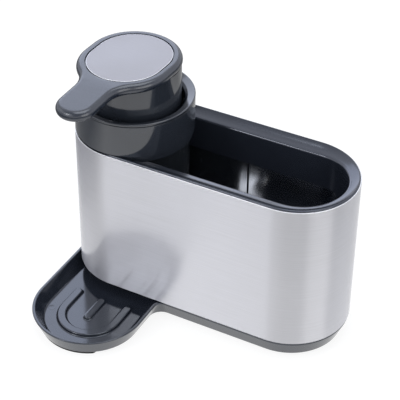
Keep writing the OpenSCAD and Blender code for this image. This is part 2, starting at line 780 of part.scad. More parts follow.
module spout_tube() color([0.85, 0.85, 0.84]) at_head() difference() {
    union() {
        channel(0);
        along_spout() translate([0, outlet_y, -lower_h - outlet_drop])
            cylinder(r = outlet_r, h = lower_h + outlet_drop + channel_h / 2);
    }
    channel(channel_t);
    translate([0, 0, part_z - over]) cylinder(r = stem_bore, h = channel_h / 2 + over);
    along_spout() translate([0, outlet_y, -lower_h - outlet_drop - over])
        cylinder(r = outlet_r - outlet_t, h = lower_h + outlet_drop + over + channel_h / 2);
}

place() base_tray();
place() tray_foot();
place() base_feet();
place() steel_sleeve();
place() rim_liner();
place() soap_bottle();
place() lid_collar();
place() pump_cup();
place() lid_gasket();
place() pump_chamber();
place() chamber_gasket();
place() stem_guide();
place() dip_tube();
place() inlet_ball();
place() return_spring();
place() pump_stem();
place() piston();
place() piston_seal();
place() outlet_ball();
place() head_housing();
place() head_shell();
place() head_inlay();
place() spout_tube();
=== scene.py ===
import math

import bmesh
import bpy
import numpy as np
from mathutils import Matrix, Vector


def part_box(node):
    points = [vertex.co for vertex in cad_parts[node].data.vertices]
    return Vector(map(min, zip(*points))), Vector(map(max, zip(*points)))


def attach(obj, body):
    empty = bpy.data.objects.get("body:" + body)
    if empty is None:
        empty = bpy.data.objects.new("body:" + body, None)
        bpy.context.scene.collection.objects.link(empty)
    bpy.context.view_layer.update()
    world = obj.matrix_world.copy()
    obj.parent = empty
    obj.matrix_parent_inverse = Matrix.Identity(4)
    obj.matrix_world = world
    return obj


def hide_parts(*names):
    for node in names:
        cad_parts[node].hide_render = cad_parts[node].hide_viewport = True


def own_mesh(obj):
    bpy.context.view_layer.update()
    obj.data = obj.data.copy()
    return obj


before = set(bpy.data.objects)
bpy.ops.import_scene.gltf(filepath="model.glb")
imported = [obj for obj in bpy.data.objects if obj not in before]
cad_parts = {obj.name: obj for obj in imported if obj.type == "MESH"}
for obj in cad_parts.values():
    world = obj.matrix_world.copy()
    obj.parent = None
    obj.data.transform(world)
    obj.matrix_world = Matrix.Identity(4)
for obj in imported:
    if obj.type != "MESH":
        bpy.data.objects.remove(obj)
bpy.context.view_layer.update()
print("frame loaded:", len(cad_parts), "nodes")

# All sizes in the settings are millimetres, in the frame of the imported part; meshes are written in metres.
millimetre = 0.001
tiny, farAway = 1e-6, 1e3                         # as good as nothing, and beyond every piece

# Places that several pieces share
caddy = {
    "endX": 64.75,        # where the round ends of the sleeve are centred
    "midY": 35.1,         # long axis of the sleeve
    "bottleX": -65.75,    # axis of the bottle and the pump
    "trayY": -36.7,       # centre of the tray's round end
    "headTurn": -2.4,     # degrees, seen from above
}
pumpAxis = (caddy["bottleX"], caddy["midY"])
trayCentre = (caddy["bottleX"], caddy["trayY"])
pocketShift = -caddy["endX"] - caddy["bottleX"]   # how far the pump's axis lies beyond the left end's centre

# How corners are softened and meshes are closed
softening = {
    "mostOfSide": 0.46,   # share of a side that one arc takes at most
    "freeSide": 2.2,      # sides longer than this many reaches get a point outside the arc
    "holdShare": 0.4,     # share of the rest of a side that this point takes at most
    "leastHold": 0.02,
    "sameSpot": 2e-6,     # metres within which points are joined
    "creaseAngle": 33,    # degrees
}


# Softens the corners of a profile. Each corner becomes an arc that touches both of its sides at
# radius / tan(half the corner), and one more point stands a little outside each end of the arc.
def softProfile(corners, radii, steps=4, closed=True, hold=0.3):
    points = np.asarray(corners, float)
    softened = []
    for i, corner in enumerate(points):
        if radii[i] <= 0 or (not closed and i in (0, len(points) - 1)):
            softened.append(corner[None])
            continue
        sides = (points[i - 1] - corner, points[(i + 1) % len(points)] - corner)
        lengths = [np.linalg.norm(side) for side in sides]
        back, ahead = (side / length for side, length in zip(sides, lengths))
        half = math.acos(np.clip(back @ ahead, -1, 1)) / 2
        reach = min(radii[i] / math.tan(half), softening["mostOfSide"] * min(lengths))
        radius, middle = reach * math.tan(half), back + ahead
        centre = corner + middle / np.linalg.norm(middle) * radius / math.sin(half)
        first, last = corner + back * reach - centre, corner + ahead * reach - centre
        share, bend = np.linspace(0, 1, steps + 1)[:, None], math.pi - 2 * half
        arc = centre + (np.sin((1 - share) * bend) * first + np.sin(share * bend) * last) / math.sin(bend)
        extras = [min(hold, softening["holdShare"] * (length - 2 * reach))
                  if length > softening["freeSide"] * reach else 0 for length in lengths]
        before, after = ([(corner + way * (reach + extra))[None]] if extra > softening["leastHold"] else []
                         for way, extra in zip((back, ahead), extras))
        softened += before + [arc] + after
    return np.concatenate(softened)


# A four-cornered section, from its inner low corner round by the outer ones, with a round for each corner.
def boxSection(inner, outer, low, high, radii, steps=4, hold=0.3):
    return softProfile([(inner, low), (outer, low), (outer, high), (inner, high)], radii, steps, hold=hold)


# A shell is a grid of points, rows by columns, joined into four-sided faces: face (i, j) joins the
# points (i, j), (i, j+1), (i+1, j+1) and (i+1, j). Where it is capped, one flat face closes the first row
# and one the last.
def shell(grid, wrapRows=False, wrapColumns=True, capped=False, chart=None):
    rows, columns = grid.shape[:2]
    i, j = np.meshgrid(np.arange(rows if wrapRows else rows - 1),
                       np.arange(columns if wrapColumns else columns - 1), indexing="ij")
    down, right = (i + 1) % rows, (j + 1) % columns
    quads = np.stack([i * columns + j, i * columns + right, down * columns + right, down * columns + j], -1)
    part = {"points": grid.reshape(-1, 3), "quads": quads.reshape(-1, 4), "caps": [], "chart": None}
    if capped:
        part["caps"] = [np.arange(columns)[::-1], (rows - 1) * columns + np.arange(columns)]
    if chart is not None:
        across, along = chart
        corners = [(i, j), (i, j + 1), (i + 1, j + 1), (i + 1, j)]
        part["chart"] = np.stack([np.stack([along[c], across[r]], -1) for r, c in corners], -2).reshape(-1, 2)
    return part


# An open band whose two ends are closed by a flat face each: rows run along the section, which closes
# on itself, and columns run along the band.
def cappedBand(grid):
    rows, columns = grid.shape[:2]
    part = shell(grid, wrapRows=True, wrapColumns=False)
    firstEnd = np.arange(rows) * columns
    part["caps"] = [firstEnd, (firstEnd + columns - 1)[::-1]]
    return part


# Puts the shells of one piece into a mesh, closes its seams and poles, and turns its faces outwards.
def addPiece(name, shells, body, finish, replaced):
    points = np.concatenate([part["points"] for part in shells]) * millimetre
    starts = np.cumsum([0] + [len(part["points"]) for part in shells])
    faces = []
    for part, start in zip(shells, starts):
        faces += (part["quads"] + start).tolist() + [(cap + start).tolist() for cap in part["caps"]]
    mesh = bpy.data.meshes.new(name)
    mesh.from_pydata(points.tolist(), [], faces)
    if any(part["chart"] is not None for part in shells):
        places = []
        for part in shells:
            places.append(np.zeros((4 * len(part["quads"]), 2)) if part["chart"] is None else part["chart"])
            places += [part["points"][cap][:, :2] for cap in part["caps"]]
        flat = np.concatenate(places) * millimetre
        mesh.uv_layers.new(name="brushing").data.foreach_set("uv", flat.astype(np.float32).ravel())
    work = bmesh.new()
    work.from_mesh(mesh)
    bmesh.ops.remove_doubles(work, verts=work.verts, dist=softening["sameSpot"])
    bmesh.ops.recalc_face_normals(work, faces=work.faces)
    work.to_mesh(mesh)
    work.free()
    mesh.shade_smooth()
    mesh.set_sharp_from_angle(angle=math.radians(softening["creaseAngle"]))
    piece = bpy.data.objects.new(name, mesh)
    bpy.context.scene.collection.objects.link(piece)
    mesh.materials.append(finish)
    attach(piece, body)
    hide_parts(*replaced)
    print("built", name, len(mesh.polygons), "faces")
    return piece


# Middles of a piece's faces, in millimetres, and the ways the faces point.
def facesOf(piece):
    faces = piece.data.polygons
    middles, normals = np.empty((2, len(faces) * 3))
    faces.foreach_get("center", middles)
    faces.foreach_get("normal", normals)
    return middles.reshape(-1, 3) / millimetre, normals.reshape(-1, 3)


# Points about an upright axis: x = radius cos(angle), y = radius sin(angle), at a height.
def ringPoints(centre, radius, angles, height):
    x, y = centre[0] + radius * np.cos(angles), centre[1] + radius * np.sin(angles)
    return np.stack(np.broadcast_arrays(x, y, height), -1)


# Carries a profile of radius and height round an upright axis, all the way or from one angle to another.
def revolve(profile, centre, steps, closed=True, firstAngle=0, lastAngle=360):
    profile = np.asarray(profile, float)
    whole = lastAngle - firstAngle == 360
    angles = np.radians(np.linspace(firstAngle, lastAngle, steps + 1)[:steps if whole else steps + 1])
    grid = ringPoints(centre, profile[:, :1], angles, profile[:, 1:])
    return shell(grid, wrapRows=closed) if whole else cappedBand(grid)


# Plan of the sleeve: where each column stands on the long axis, and the way it faces. The first column
# stands at the given share of the way round from the left end of the front.
def stadiumPlan(arcSteps, sideSteps, start):
    endX, quarter = caddy["endX"], math.pi / 2
    side = np.linspace(-endX, endX, sideSteps + 1)[:-1]
    arc = np.radians(np.linspace(-90, 90, arcSteps + 1)[:-1])
    spine = np.concatenate([side, np.full(arcSteps, endX), -side, np.full(arcSteps, -endX)])
    facing = np.concatenate([np.full(sideSteps, -quarter), arc, np.full(sideSteps, quarter), arc + math.pi])
    shift = -int(round(start * len(spine)))
    return np.roll(spine, shift), np.roll(facing, shift)


# Carries a profile of distance and height along a plan: the point is the plan's centre plus the
# distance times the way it faces. The profile may differ from column to column.
def sweep(profile, spine, facing):
    distance, height = profile[..., 0], profile[..., 1]
    if distance.ndim == 1:
        distance, height = distance[:, None], height[:, None]
    return ringPoints((spine, caddy["midY"]), distance, facing, height)


# Points on an arc about a centre, as x and y.
def arcPoints(centre, radius, first, last, steps, skipFirst=False, skipLast=False):
    angles = np.radians(np.linspace(first, last, steps + 1))[int(skipFirst):steps + 1 - int(skipLast)]
    return np.stack([centre[0] + radius * np.cos(angles), centre[1] + radius * np.sin(angles)], -1)


# Points on the line between two places, which are left out themselves.
def linePoints(first, last, steps):
    share = np.linspace(0, 1, steps + 1)[1:-1, None]
    return (1 - share) * np.asarray(first, float) + share * np.asarray(last, float)


# A flat outline put at a height.
def atHeight(outline, height):
    return np.concatenate([outline, np.full((len(outline), 1), height)], 1)


# Length along a closed outline at each of its points, and at its first point again.
def lengthAlong(outline):
    strides = np.linalg.norm(np.diff(np.concatenate([outline, outline[:1]]), axis=0), axis=1)
    return np.concatenate([[0], np.cumsum(strides)])


# An empty finish, with its nodes, its links and its surface shader.
def newFinish(name):
    finish = bpy.data.materials.new(name)
    finish.use_nodes = True
    tree = finish.node_tree
    return finish, tree.nodes, tree.links, tree.nodes["Principled BSDF"]


def objectPlace(nodes):
    return nodes.new("ShaderNodeTexCoord").outputs["Object"]


# Noise at a place. A stretch scales the place first, which draws the noise out into lines.
def noiseNode(nodes, links, source, scale, detail=2.0, roughness=0.5, stretch=None):
    if stretch:
        mapping = nodes.new("ShaderNodeMapping")
        mapping.inputs["Scale"].default_value = stretch
        links.new(source, mapping.inputs["Vector"])
        source = mapping.outputs["Vector"]
    noise = nodes.new("ShaderNodeTexNoise")
    setSockets(noise, {"Scale": scale, "Detail": detail, "Roughness": roughness})
    links.new(source, noise.inputs["Vector"])
    return noise.outputs["Fac"]


# Maps one range evenly onto another, and holds the ends beyond it. Noise lies mostly from 0.3 to 0.7.
def rangeNode(nodes, links, source, low, high, fromLow=0.3, fromHigh=0.7):
    mapped = nodes.new("ShaderNodeMapRange")
    setSockets(mapped, {"From Min": fromLow, "From Max": fromHigh, "To Min": low, "To Max": high})
    links.new(source, mapped.inputs["Value"])
    return mapped.outputs["Result"]


# Joins values by an operation. Each is a number or another node's output.
def mathNode(nodes, links, operation, *values):
    node = nodes.new("ShaderNodeMath")
    node.operation = operation
    for socket, value in zip(node.inputs, values):
        if isinstance(value, (int, float)):
            socket.default_value = value
        else:
            links.new(value, socket)
    return node.outputs["Value"]


def setSockets(node, values):
    for socket, value in values.items():
        node.inputs[socket].default_value = value


# Colours a surface by a share between two shades of its colour: low times it, and high times it plus a lift.
def shadeSurface(nodes, links, shader, share, colour, low, high, lift=0):
    tint = nodes.new("ShaderNodeMixRGB")
    setSockets(tint, {"Color1": (*[c * low for c in colour], 1),
                      "Color2": (*[min(c * high + lift, 1) for c in colour], 1)})
    links.new(share, tint.inputs["Fac"])
    links.new(tint.outputs["Color"], shader.inputs["Base Color"])


def bumpSurface(nodes, links, shader, height, depth):          # depth in millimetres
    bump = nodes.new("ShaderNodeBump")
    bump.inputs["Distance"].default_value = depth * millimetre
    links.new(height, bump.inputs["Height"])
    links.new(bump.outputs["Normal"], shader.inputs["Normal"])
    return bump.outputs["Normal"]


# Satin moulded plastic: a fine eroded grain in the bump, slow drifts of colour and gloss, and a few
# faint rubbed streaks in the gloss.
def satinPlastic(name, colour, roughness, specular, grainDepth, coat=0.0, glossTint=(1, 1, 1)):
    finish, nodes, links, shader = newFinish(name)
    place = objectPlace(nodes)
    slow = noiseNode(nodes, links, place, 38, 3)
    grain = noiseNode(nodes, links, place, 2600, 2, 0.6)
    rubbed = noiseNode(nodes, links, place, 1, 4, 0.6, stretch=(60, 420, 120))
    shadeSurface(nodes, links, shader, rangeNode(nodes, links, slow, 0, 1), colour, 0.92, 1.08)
    gloss = mathNode(nodes, links, "ADD",
                     rangeNode(nodes, links, rubbed, roughness - 0.03, roughness + 0.03),
                     rangeNode(nodes, links, grain, -0.02, 0.02))
    links.new(gloss, shader.inputs["Roughness"])
    bumpSurface(nodes, links, shader, grain, grainDepth)
    setSockets(shader, {"Specular IOR Level": specular, "Specular Tint": (*glossTint, 1),
                        "Coat Weight": coat, "Coat Roughness": 0.09})
    return finish


# Brushed steel: hair lines run along the brushing, so noise is stretched to short threads along it;
# they drive the colour, the gloss and a shallow bump, and the gloss is spread across them.
def brushedSteel(name, colour, roughness, anisotropy, lineScale, chartName=None, lineDepth=0.002, turn=0.0,
                 spread=0.05, edgeTint=(1, 1, 1), sheen=None):
    finish, nodes, links, shader = newFinish(name)
    place = source = objectPlace(nodes)
    if chartName:
        chart, tangent = nodes.new("ShaderNodeUVMap"), nodes.new("ShaderNodeTangent")
        tangent.direction_type = "UV_MAP"
        chart.uv_map = tangent.uv_map = chartName
        source = chart.outputs["UV"]
        links.new(tangent.outputs["Tangent"], shader.inputs["Tangent"])
    fine = noiseNode(nodes, links, source, 1, 3, 0.65, stretch=lineScale)
    coarse = noiseNode(nodes, links, source, 1, 2, stretch=[s * 0.33 for s in lineScale])
    cloud = noiseNode(nodes, links, place, 22, 2)
    lines = mathNode(nodes, links, "ADD", rangeNode(nodes, links, fine, 0, 0.5),
                     rangeNode(nodes, links, coarse, 0, 0.5))
    shadeSurface(nodes, links, shader, lines, colour, 0.91, 1.09)
    gloss = mathNode(nodes, links, "ADD",
                     rangeNode(nodes, links, lines, roughness - spread, roughness + spread, 0.2, 0.8),
                     rangeNode(nodes, links, cloud, -0.02, 0.02))
    links.new(gloss, shader.inputs["Roughness"])
    bumped = bumpSurface(nodes, links, shader, lines, lineDepth)
    setSockets(shader, {"Metallic": 1, "Specular Tint": (*edgeTint, 1), "Anisotropic": anisotropy,
                        "Anisotropic Rotation": turn})
    if sheen:                                                  # a clearer mirror over the brushed lobe
        setSockets(shader, dict(zip(("Coat Weight", "Coat Roughness", "Coat IOR"), sheen)))
        links.new(bumped, shader.inputs["Coat Normal"])
    return finish


# Rolled or welded steel that is not brushed: faint rolling lines and cloudy gloss.
def milledSteel(name, colour, roughness):
    finish, nodes, links, shader = newFinish(name)
    place = objectPlace(nodes)
    cloud = noiseNode(nodes, links, place, 45, 3)
    rolled = noiseNode(nodes, links, place, 1, 2, stretch=(40, 40, 2200))
    shadeSurface(nodes, links, shader, rangeNode(nodes, links, rolled, 0, 1), colour, 0.93, 1)
    links.new(rangeNode(nodes, links, cloud, roughness - 0.03, roughness + 0.04), shader.inputs["Roughness"])
    bumpSurface(nodes, links, shader, rolled, 0.002)
    setSockets(shader, {"Metallic": 1})
    return finish


# Matte rubber: fine pebbled bump with dusty, lighter patches.
def matteRubber(name, colour, roughness=0.75):
    finish, nodes, links, shader = newFinish(name)
    place = objectPlace(nodes)
    pebble = noiseNode(nodes, links, place, 1900, 3, 0.6)
    dust = noiseNode(nodes, links, place, 90, 4, 0.65)
    shadeSurface(nodes, links, shader, rangeNode(nodes, links, dust, 0, 1, 0.45, 0.8), colour, 1, 1.7, 0.004)
    links.new(rangeNode(nodes, links, pebble, roughness - 0.08, roughness + 0.08), shader.inputs["Roughness"])
    bumpSurface(nodes, links, shader, pebble, 0.03)
    setSockets(shader, {"Specular IOR Level": 0.3})
    return finish


# Natural, slightly milky plastic of the pump's inner parts, with turning marks round the axis.
def milkyPlastic(name, colour, roughness=0.42):
    finish, nodes, links, shader = newFinish(name)
    place = objectPlace(nodes)
    slow = noiseNode(nodes, links, place, 60, 3)
    rings = noiseNode(nodes, links, place, 1, 2, stretch=(30, 30, 1400))
    shadeSurface(nodes, links, shader, rangeNode(nodes, links, slow, 0, 1), colour, 0.95, 1)
    links.new(rangeNode(nodes, links, rings, roughness - 0.05, roughness + 0.05), shader.inputs["Roughness"])
    bumpSurface(nodes, links, shader, rings, 0.01)
    setSockets(shader, {"Subsurface Weight": 0.15, "Subsurface Scale": 0.002})
    return finish


# Polished wire and ball steel with fine draw marks.
def polishedSteel(name, colour):
    finish, nodes, links, shader = newFinish(name)
    marks = noiseNode(nodes, links, objectPlace(nodes), 900, 3)
    shadeSurface(nodes, links, shader, rangeNode(nodes, links, marks, 0, 1), colour, 0.9, 1)
    links.new(rangeNode(nodes, links, marks, 0.12, 0.24), shader.inputs["Roughness"])
    setSockets(shader, {"Metallic": 1})
    return finish


finishes = {
    "base": satinPlastic("satinGreyBase", (0.020, 0.024, 0.034), 0.12, 0.92, 0.002, coat=0.12,
                         glossTint=(0.90, 0.94, 1)),
    "rim": satinPlastic("satinGreyRim", (0.019, 0.023, 0.033), 0.17, 0.98, 0.002, coat=0.15,
                        glossTint=(0.88, 0.91, 1)),
    "collar": satinPlastic("satinGreyCollar", (0.024, 0.029, 0.039), 0.11, 0.92, 0.0015, coat=0.2),
    "bottle": satinPlastic("satinDarkBottle", (0.014, 0.017, 0.021), 0.24, 0.7, 0.006),
    "head": satinPlastic("satinGreyHead", (0.018, 0.024, 0.037), 0.23, 0.94, 0.0025, coat=0.1),
    "skirt": satinPlastic("satinGreySkirt", (0.024, 0.029, 0.039), 0.12, 0.86, 0.0015, coat=0.2),
    "sleeve": brushedSteel("brushedSleeveSteel", (0.66, 0.66, 0.695), 0.44, 1.0, (45, 4600, 1), "brushing",
                           turn=0.25, spread=0.06, edgeTint=(0.3, 0.3, 0.32), sheen=(1.0, 0.165, 2.2)),
    "inside": brushedSteel("smoothSleeveInside", (0.96, 0.97, 1.0), 0.11, 0.6, (30, 2600, 1), "brushing", 0.0001,
                           turn=0.25, spread=0.02),
    "lip": brushedSteel("burnishedLipSteel", (0.97, 0.97, 0.98), 0.42, 0.0, (30, 5600, 1), "brushing"),
    "weld": milledSteel("darkWeldSteel", (0.10, 0.10, 0.11), 0.34),
    "cutEdge": milledSteel("brightPlateEdge", (0.96, 0.96, 0.97), 0.3),
    "inlay": brushedSteel("brushedInlaySteel", (0.345, 0.335, 0.335), 0.46, 0.0, (60, 3600, 60), spread=0.05),
    "foot": matteRubber("mattFootRubber", (0.010, 0.010, 0.011)),
    "seal": matteRubber("mattSealRubber", (0.014, 0.014, 0.015), 0.65),
    "pump": milkyPlastic("milkyPumpPlastic", (0.72, 0.72, 0.69)),
    "valve": polishedSteel("polishedValveSteel", (0.70, 0.70, 0.72)),
}
print("finishes made:", len(finishes))

# The sheet of the sleeve, with a round on each edge, and the weld inside it
sleeve = {
    "outer": 45.0, "inner": 44.2, "low": 16.0, "high": 134.4, "edge": 0.78, "foot": 0.12,
    "weldX": 6.1, "weldWide": 1.7, "weldHigh": 0.35, "weldLow": 24.6, "weldTop": 104.6,
    "weldSunk": 0.1, "weldEnd": 0.3, "arcSteps": 64, "sideSteps": 30,
    "inwardLeast": 10, "lipTilt": 0.12, "weldLeast": 0.003,        # what tells the kinds of face apart
}


# The weld that closes the sheet, up the inside of the back wall: a low half ellipse carried upwards.
def weldBead():
    s = sleeve
    angles = np.linspace(0, math.pi, 9)
    x = s["weldX"] + s["weldWide"] / 2 * np.cos(angles)
    y = caddy["midY"] + s["inner"] + s["weldSunk"] - (s["weldHigh"] + s["weldSunk"]) * np.sin(angles)
    heights = (s["weldLow"], s["weldLow"] + s["weldEnd"], s["weldTop"] - s["weldEnd"], s["weldTop"])
    return shell(np.stack([atHeight(np.stack([x, y], -1), height) for height in heights]), capped=True)


# The sheet is a thin upright section with rounded edges, carried round the plan. Its chart runs along the
# plan and across the section, for the brushing. Kinds of face: 0 outside, 1 inside, 2 lip, 3 weld.
def buildSleeve():
    s = sleeve
    profile = boxSection(s["inner"], s["outer"], s["low"], s["high"], (s["foot"], s["foot"], s["edge"], 0),
                         steps=6, hold=0.5)
    spine, facing = stadiumPlan(s["arcSteps"], s["sideSteps"], 0.5)
    outline = np.stack([spine + s["outer"] * np.cos(facing), s["outer"] * np.sin(facing)], -1)
    sheet = shell(sweep(profile, spine, facing), wrapRows=True,
                  chart=(lengthAlong(profile), lengthAlong(outline)))
    piece = addPiece("steel_sleeve_skin", [sheet, weldBead()], "base", finishes["sleeve"],
                     ["steel_sleeve"])
    for name in ("inside", "lip", "weld"):
        piece.data.materials.append(finishes[name])
    middles, normals = facesOf(piece)
    x, y, z = middles.T
    aside, beyond = x - np.clip(x, -caddy["endX"], caddy["endX"]), y - caddy["midY"]
    facesInwards = aside * normals[:, 0] + beyond * normals[:, 1] < -s["inwardLeast"]
    onLip = (z > s["high"] - s["edge"]) & (normals[:, 2] > s["lipTilt"])
    nearWeld = (beyond > 0) & (np.abs(x - s["weldX"]) < s["weldWide"])
    onWeld = nearWeld & (np.hypot(aside, beyond) < s["inner"] - s["weldLeast"])
    kinds = np.where(onWeld, 3, np.where(onLip, 2, facesInwards))
    piece.data.polygons.foreach_set("material_index", kinds.astype(np.int32))


buildSleeve()

# The frame plugged into the top of the sleeve
rim = {
    "outer": 44.3, "crest": 43.1, "crestHeight": 135.6, "slope": 3.3 / 10.5, "seatHeight": 134.4,
    "openHalf": 68.45, "openRadius": 32.6, "pocketRadius": 44.2, "plugOuter": 44.0, "thick": 1.8,
    "wallLow": 105.3, "wallSoft": 0.5, "plugLow": 124.4, "plugSoft": 0.4, "wellRadius": 40.3,
    "ledgeHeight": 130.7, "ledgeSoft": 0.45, "ledgeLeast": 0.01, "bead": 1.7,
    "coveShares": (0.03, 0.1, 0.2, 0.32, 0.45, 0.6, 0.75, 0.88, 0.97),   # of the way from the crest inwards
}
# Where the edge of the bottle's pocket meets the side of the opening
rimMeet = caddy["bottleX"] + math.sqrt(rim["pocketRadius"] ** 2 - rim["openRadius"] ** 2)


# Height of the rim's top at a distance from the long axis: a quarter round outside the crest, and inside it
# a cove that is level at the opening. The cove drops by drop (1 - share^2), where share runs from 0 at the
# opening to 1 at the crest.
def rimTop(distance, opening):
    r = rim
    edgeRound = r["outer"] - r["crest"]
    past = np.clip(distance - r["crest"], 0, edgeRound)
    share = np.clip((distance - opening) / (r["crest"] - opening), 0, 1)
    drop = r["slope"] * (r["crest"] - opening)
    return np.where(distance > r["crest"], r["seatHeight"] + np.sqrt(edgeRound ** 2 - past ** 2),
                    r["crestHeight"] - drop * (1 - share ** 2))


# Inner edge of the flange in each column, at the opening and at the bottle's pocket. On a ray from an end's
# centre the edge of a circle whose centre lies e ahead is at e cos(angle) + sqrt(radius^2 - (e sin(angle))^2).
def rimInner(spine, facing):
    r, endX = rim, caddy["endX"]
    cosine, sine = np.cos(facing), np.abs(np.sin(facing))
    ahead = r["openHalf"] - endX
    onEnd = np.where(cosine > tiny, ahead * cosine + np.sqrt(r["openRadius"] ** 2 - (ahead * sine) ** 2), 0)
    onSide = np.minimum(r["openRadius"] / np.maximum(sine, tiny), farAway)
    atRight = np.where(onEnd * cosine > ahead, onEnd, onSide)
    opening = np.where(np.abs(spine - endX) > tiny, r["openRadius"], atRight)
    onLeft = -pocketShift * cosine + np.sqrt(r["pocketRadius"] ** 2 - (pocketShift * sine) ** 2)
    onSpine = np.sqrt(np.maximum(r["pocketRadius"] ** 2 - (spine - caddy["bottleX"]) ** 2, 0))
    pocket = np.where(spine < -endX + tiny, onLeft, onSpine)
    return opening, np.minimum(pocket, r["outer"])


# The flange on the sleeve's edge, with the plug's and the opening's walls. In each column the section runs
# round the outer edge, down the cove, round the bead at the inner edge, down the opening's wall, and back up
# under the flange and round the plug.
def rimFlange():
    r, endX, crest = rim, caddy["endX"], rim["crest"]
    endAngle = math.degrees(math.acos(-(r["outer"] ** 2 + pocketShift ** 2 - r["pocketRadius"] ** 2)
                                      / (2 * r["outer"] * pocketShift)))
    left, right = np.linspace(-endX, rimMeet, 26), np.linspace(rimMeet, endX, 24)
    leftArc, rightArc = np.linspace(endAngle, 90, 10)[:-1], np.linspace(-90, 90, 57)[1:-1]
    front = np.concatenate([np.full(len(leftArc), -endX), left, right])
    frontFacing = np.concatenate([-leftArc, np.full(len(left) + len(right), -90)])
    frontPocket = np.arange(len(front)) < len(leftArc) + len(left)
    spine = np.concatenate([front, np.full(len(rightArc), endX), front[::-1]])
    facing = np.radians(np.concatenate([frontFacing, rightArc, -frontFacing[::-1]]))
    atPocket = np.concatenate([frontPocket, np.zeros(len(rightArc), bool), frontPocket[::-1]])
    opening, pocket = rimInner(spine, facing)
    inner = np.where(atPocket, pocket, opening)

    room = np.clip((crest - inner) / (3 * r["bead"]), 0, 1)    # the bead shrinks where the flange is narrow
    bead = r["bead"] * room
    tilt = np.arctan(2 * r["slope"] * np.clip((inner - opening) / (crest - opening), 0, 1))
    reach = bead * np.tan((math.pi / 2 - tilt) / 2)            # from the sharp edge to each end of the bead
    coveStart, coveEnd = np.maximum(crest, inner), inner + reach * np.cos(tilt)
    tops = [crest + (r["outer"] - crest) * math.cos(angle) for angle in np.radians(np.linspace(0, 90, 8))]
    tops += [coveStart + (coveEnd - coveStart) * share for share in r["coveShares"]]
    rows = [(np.maximum(top, inner), rimTop(np.maximum(top, inner), opening)) for top in tops]
    beadLow = rimTop(inner, opening) - reach
    for share in np.linspace(0, 1, 7):
        turned = tilt + (math.pi / 2 - tilt) * share
        rows.append((inner + bead - bead * np.sin(turned), beadLow + bead * np.cos(turned)))
    rows.append((inner, beadLow - 0.4 * room))

    low = np.where(atPocket, np.where(inner < r["plugOuter"], r["ledgeHeight"], r["seatHeight"]), r["wallLow"])
    soft = np.where(atPocket, 0, r["wallSoft"])
    plug = np.maximum(r["plugOuter"], inner)
    thick = np.minimum(inner + r["thick"], np.where(atPocket, plug, farAway))
    plugInner = np.minimum(np.maximum(r["plugOuter"] - r["thick"], inner), plug)
    under, underPlug, plugFoot = (np.where(atPocket, low, height) for height in (
        rimTop(thick, opening) - r["thick"], rimTop(plugInner, opening) - r["thick"], r["plugLow"]))
    rows += [
        (inner, low + soft + 0.3 * (soft > 0)), (inner, low + soft), (inner + 0.3 * soft, low + 0.3 * soft),
        (inner + soft, low), (thick - soft, low), (thick, low + soft), (thick, under), (plugInner, underPlug),
        (plugInner, plugFoot), (plug, plugFoot), (plug, r["seatHeight"]),
    ]
    profile = np.stack([np.stack(np.broadcast_arrays(*row), -1) for row in rows])
    return cappedBand(sweep(profile, spine, facing))


# The ledge that carries the collar's pocket: a crescent between the bottle's hole and the sleeve's wall.
def rimLedge():
    r = rim
    first = math.degrees(math.asin(r["openRadius"] / r["pocketRadius"]))
    angles = np.radians(np.linspace(first, 360 - first, 120))
    cosine, sine = np.cos(angles), np.abs(np.sin(angles))
    nearSide, farSide = (side / np.maximum(sine, tiny) for side in (r["openRadius"], r["plugOuter"]))
    inner = np.where(cosine > 0, np.maximum(r["wellRadius"], nearSide), r["wellRadius"])
    roundEnd = pocketShift * cosine + np.sqrt(r["plugOuter"] ** 2 - (pocketShift * sine) ** 2)
    outer = np.minimum(np.where(cosine > 0.02, farSide, roundEnd), r["pocketRadius"] + r["thick"])
    outer = np.maximum(outer, inner + r["ledgeLeast"])
    top, low = r["ledgeHeight"], r["ledgeHeight"] - r["thick"]
    soft = np.minimum(r["ledgeSoft"], 0.3 * (outer - inner))
    rows = [(outer, top), (inner + soft, top), (inner + 0.3 * soft, top - 0.3 * soft), (inner, top - soft),
            (inner, low + soft), (inner + soft, low), (outer, low)]
    return cappedBand(np.stack([ringPoints(pumpAxis, radius, angles, height) for radius, height in rows]))


# The plug's wall round the bottle, and the ends of the opening's wall up to the bottle's hole.
def rimLowerWalls():
    r, endX, soft = rim, caddy["endX"], rim["plugSoft"]
    side, arc = np.linspace(rimMeet, -endX, 8), np.linspace(90, 270, 49)
    spine = np.concatenate([side, np.full(len(arc), -endX), side[::-1]])
    facing = np.radians(np.concatenate([np.full(len(side), 90), arc, np.full(len(side), 270)]))
    top = r["ledgeHeight"] - soft
    section = boxSection(r["plugOuter"] - r["thick"], r["plugOuter"], r["plugLow"], top, (soft, soft, 0, 0), 3)
    walls = [cappedBand(sweep(section, spine, facing))]
    near, far = r["openRadius"], r["openRadius"] + r["thick"]
    cutNear, cutFar = (caddy["bottleX"] + math.sqrt(r["wellRadius"] ** 2 - y ** 2) for y in (near, far))
    x, y = softProfile([(cutNear, near), (rimMeet, near), (rimMeet, far), (cutFar, far)],
                       (r["wallSoft"], 0, 0, 0), 3).T
    inwards, lean = np.sign(y.mean() - y), 0.25
    for way in (-1, 1):
        levels = ((lean, r["wallLow"]), (0, r["wallLow"] + lean), (0, top))
        walls.append(shell(np.stack([
            atHeight(np.stack([x, caddy["midY"] + way * (y + inset * inwards)], -1), height)
            for inset, height in levels]), capped=True))
    return walls


addPiece("rim_liner_skin", [rimFlange(), rimLedge()] + rimLowerWalls(), "base",
         finishes["rim"], ["rim_liner"])

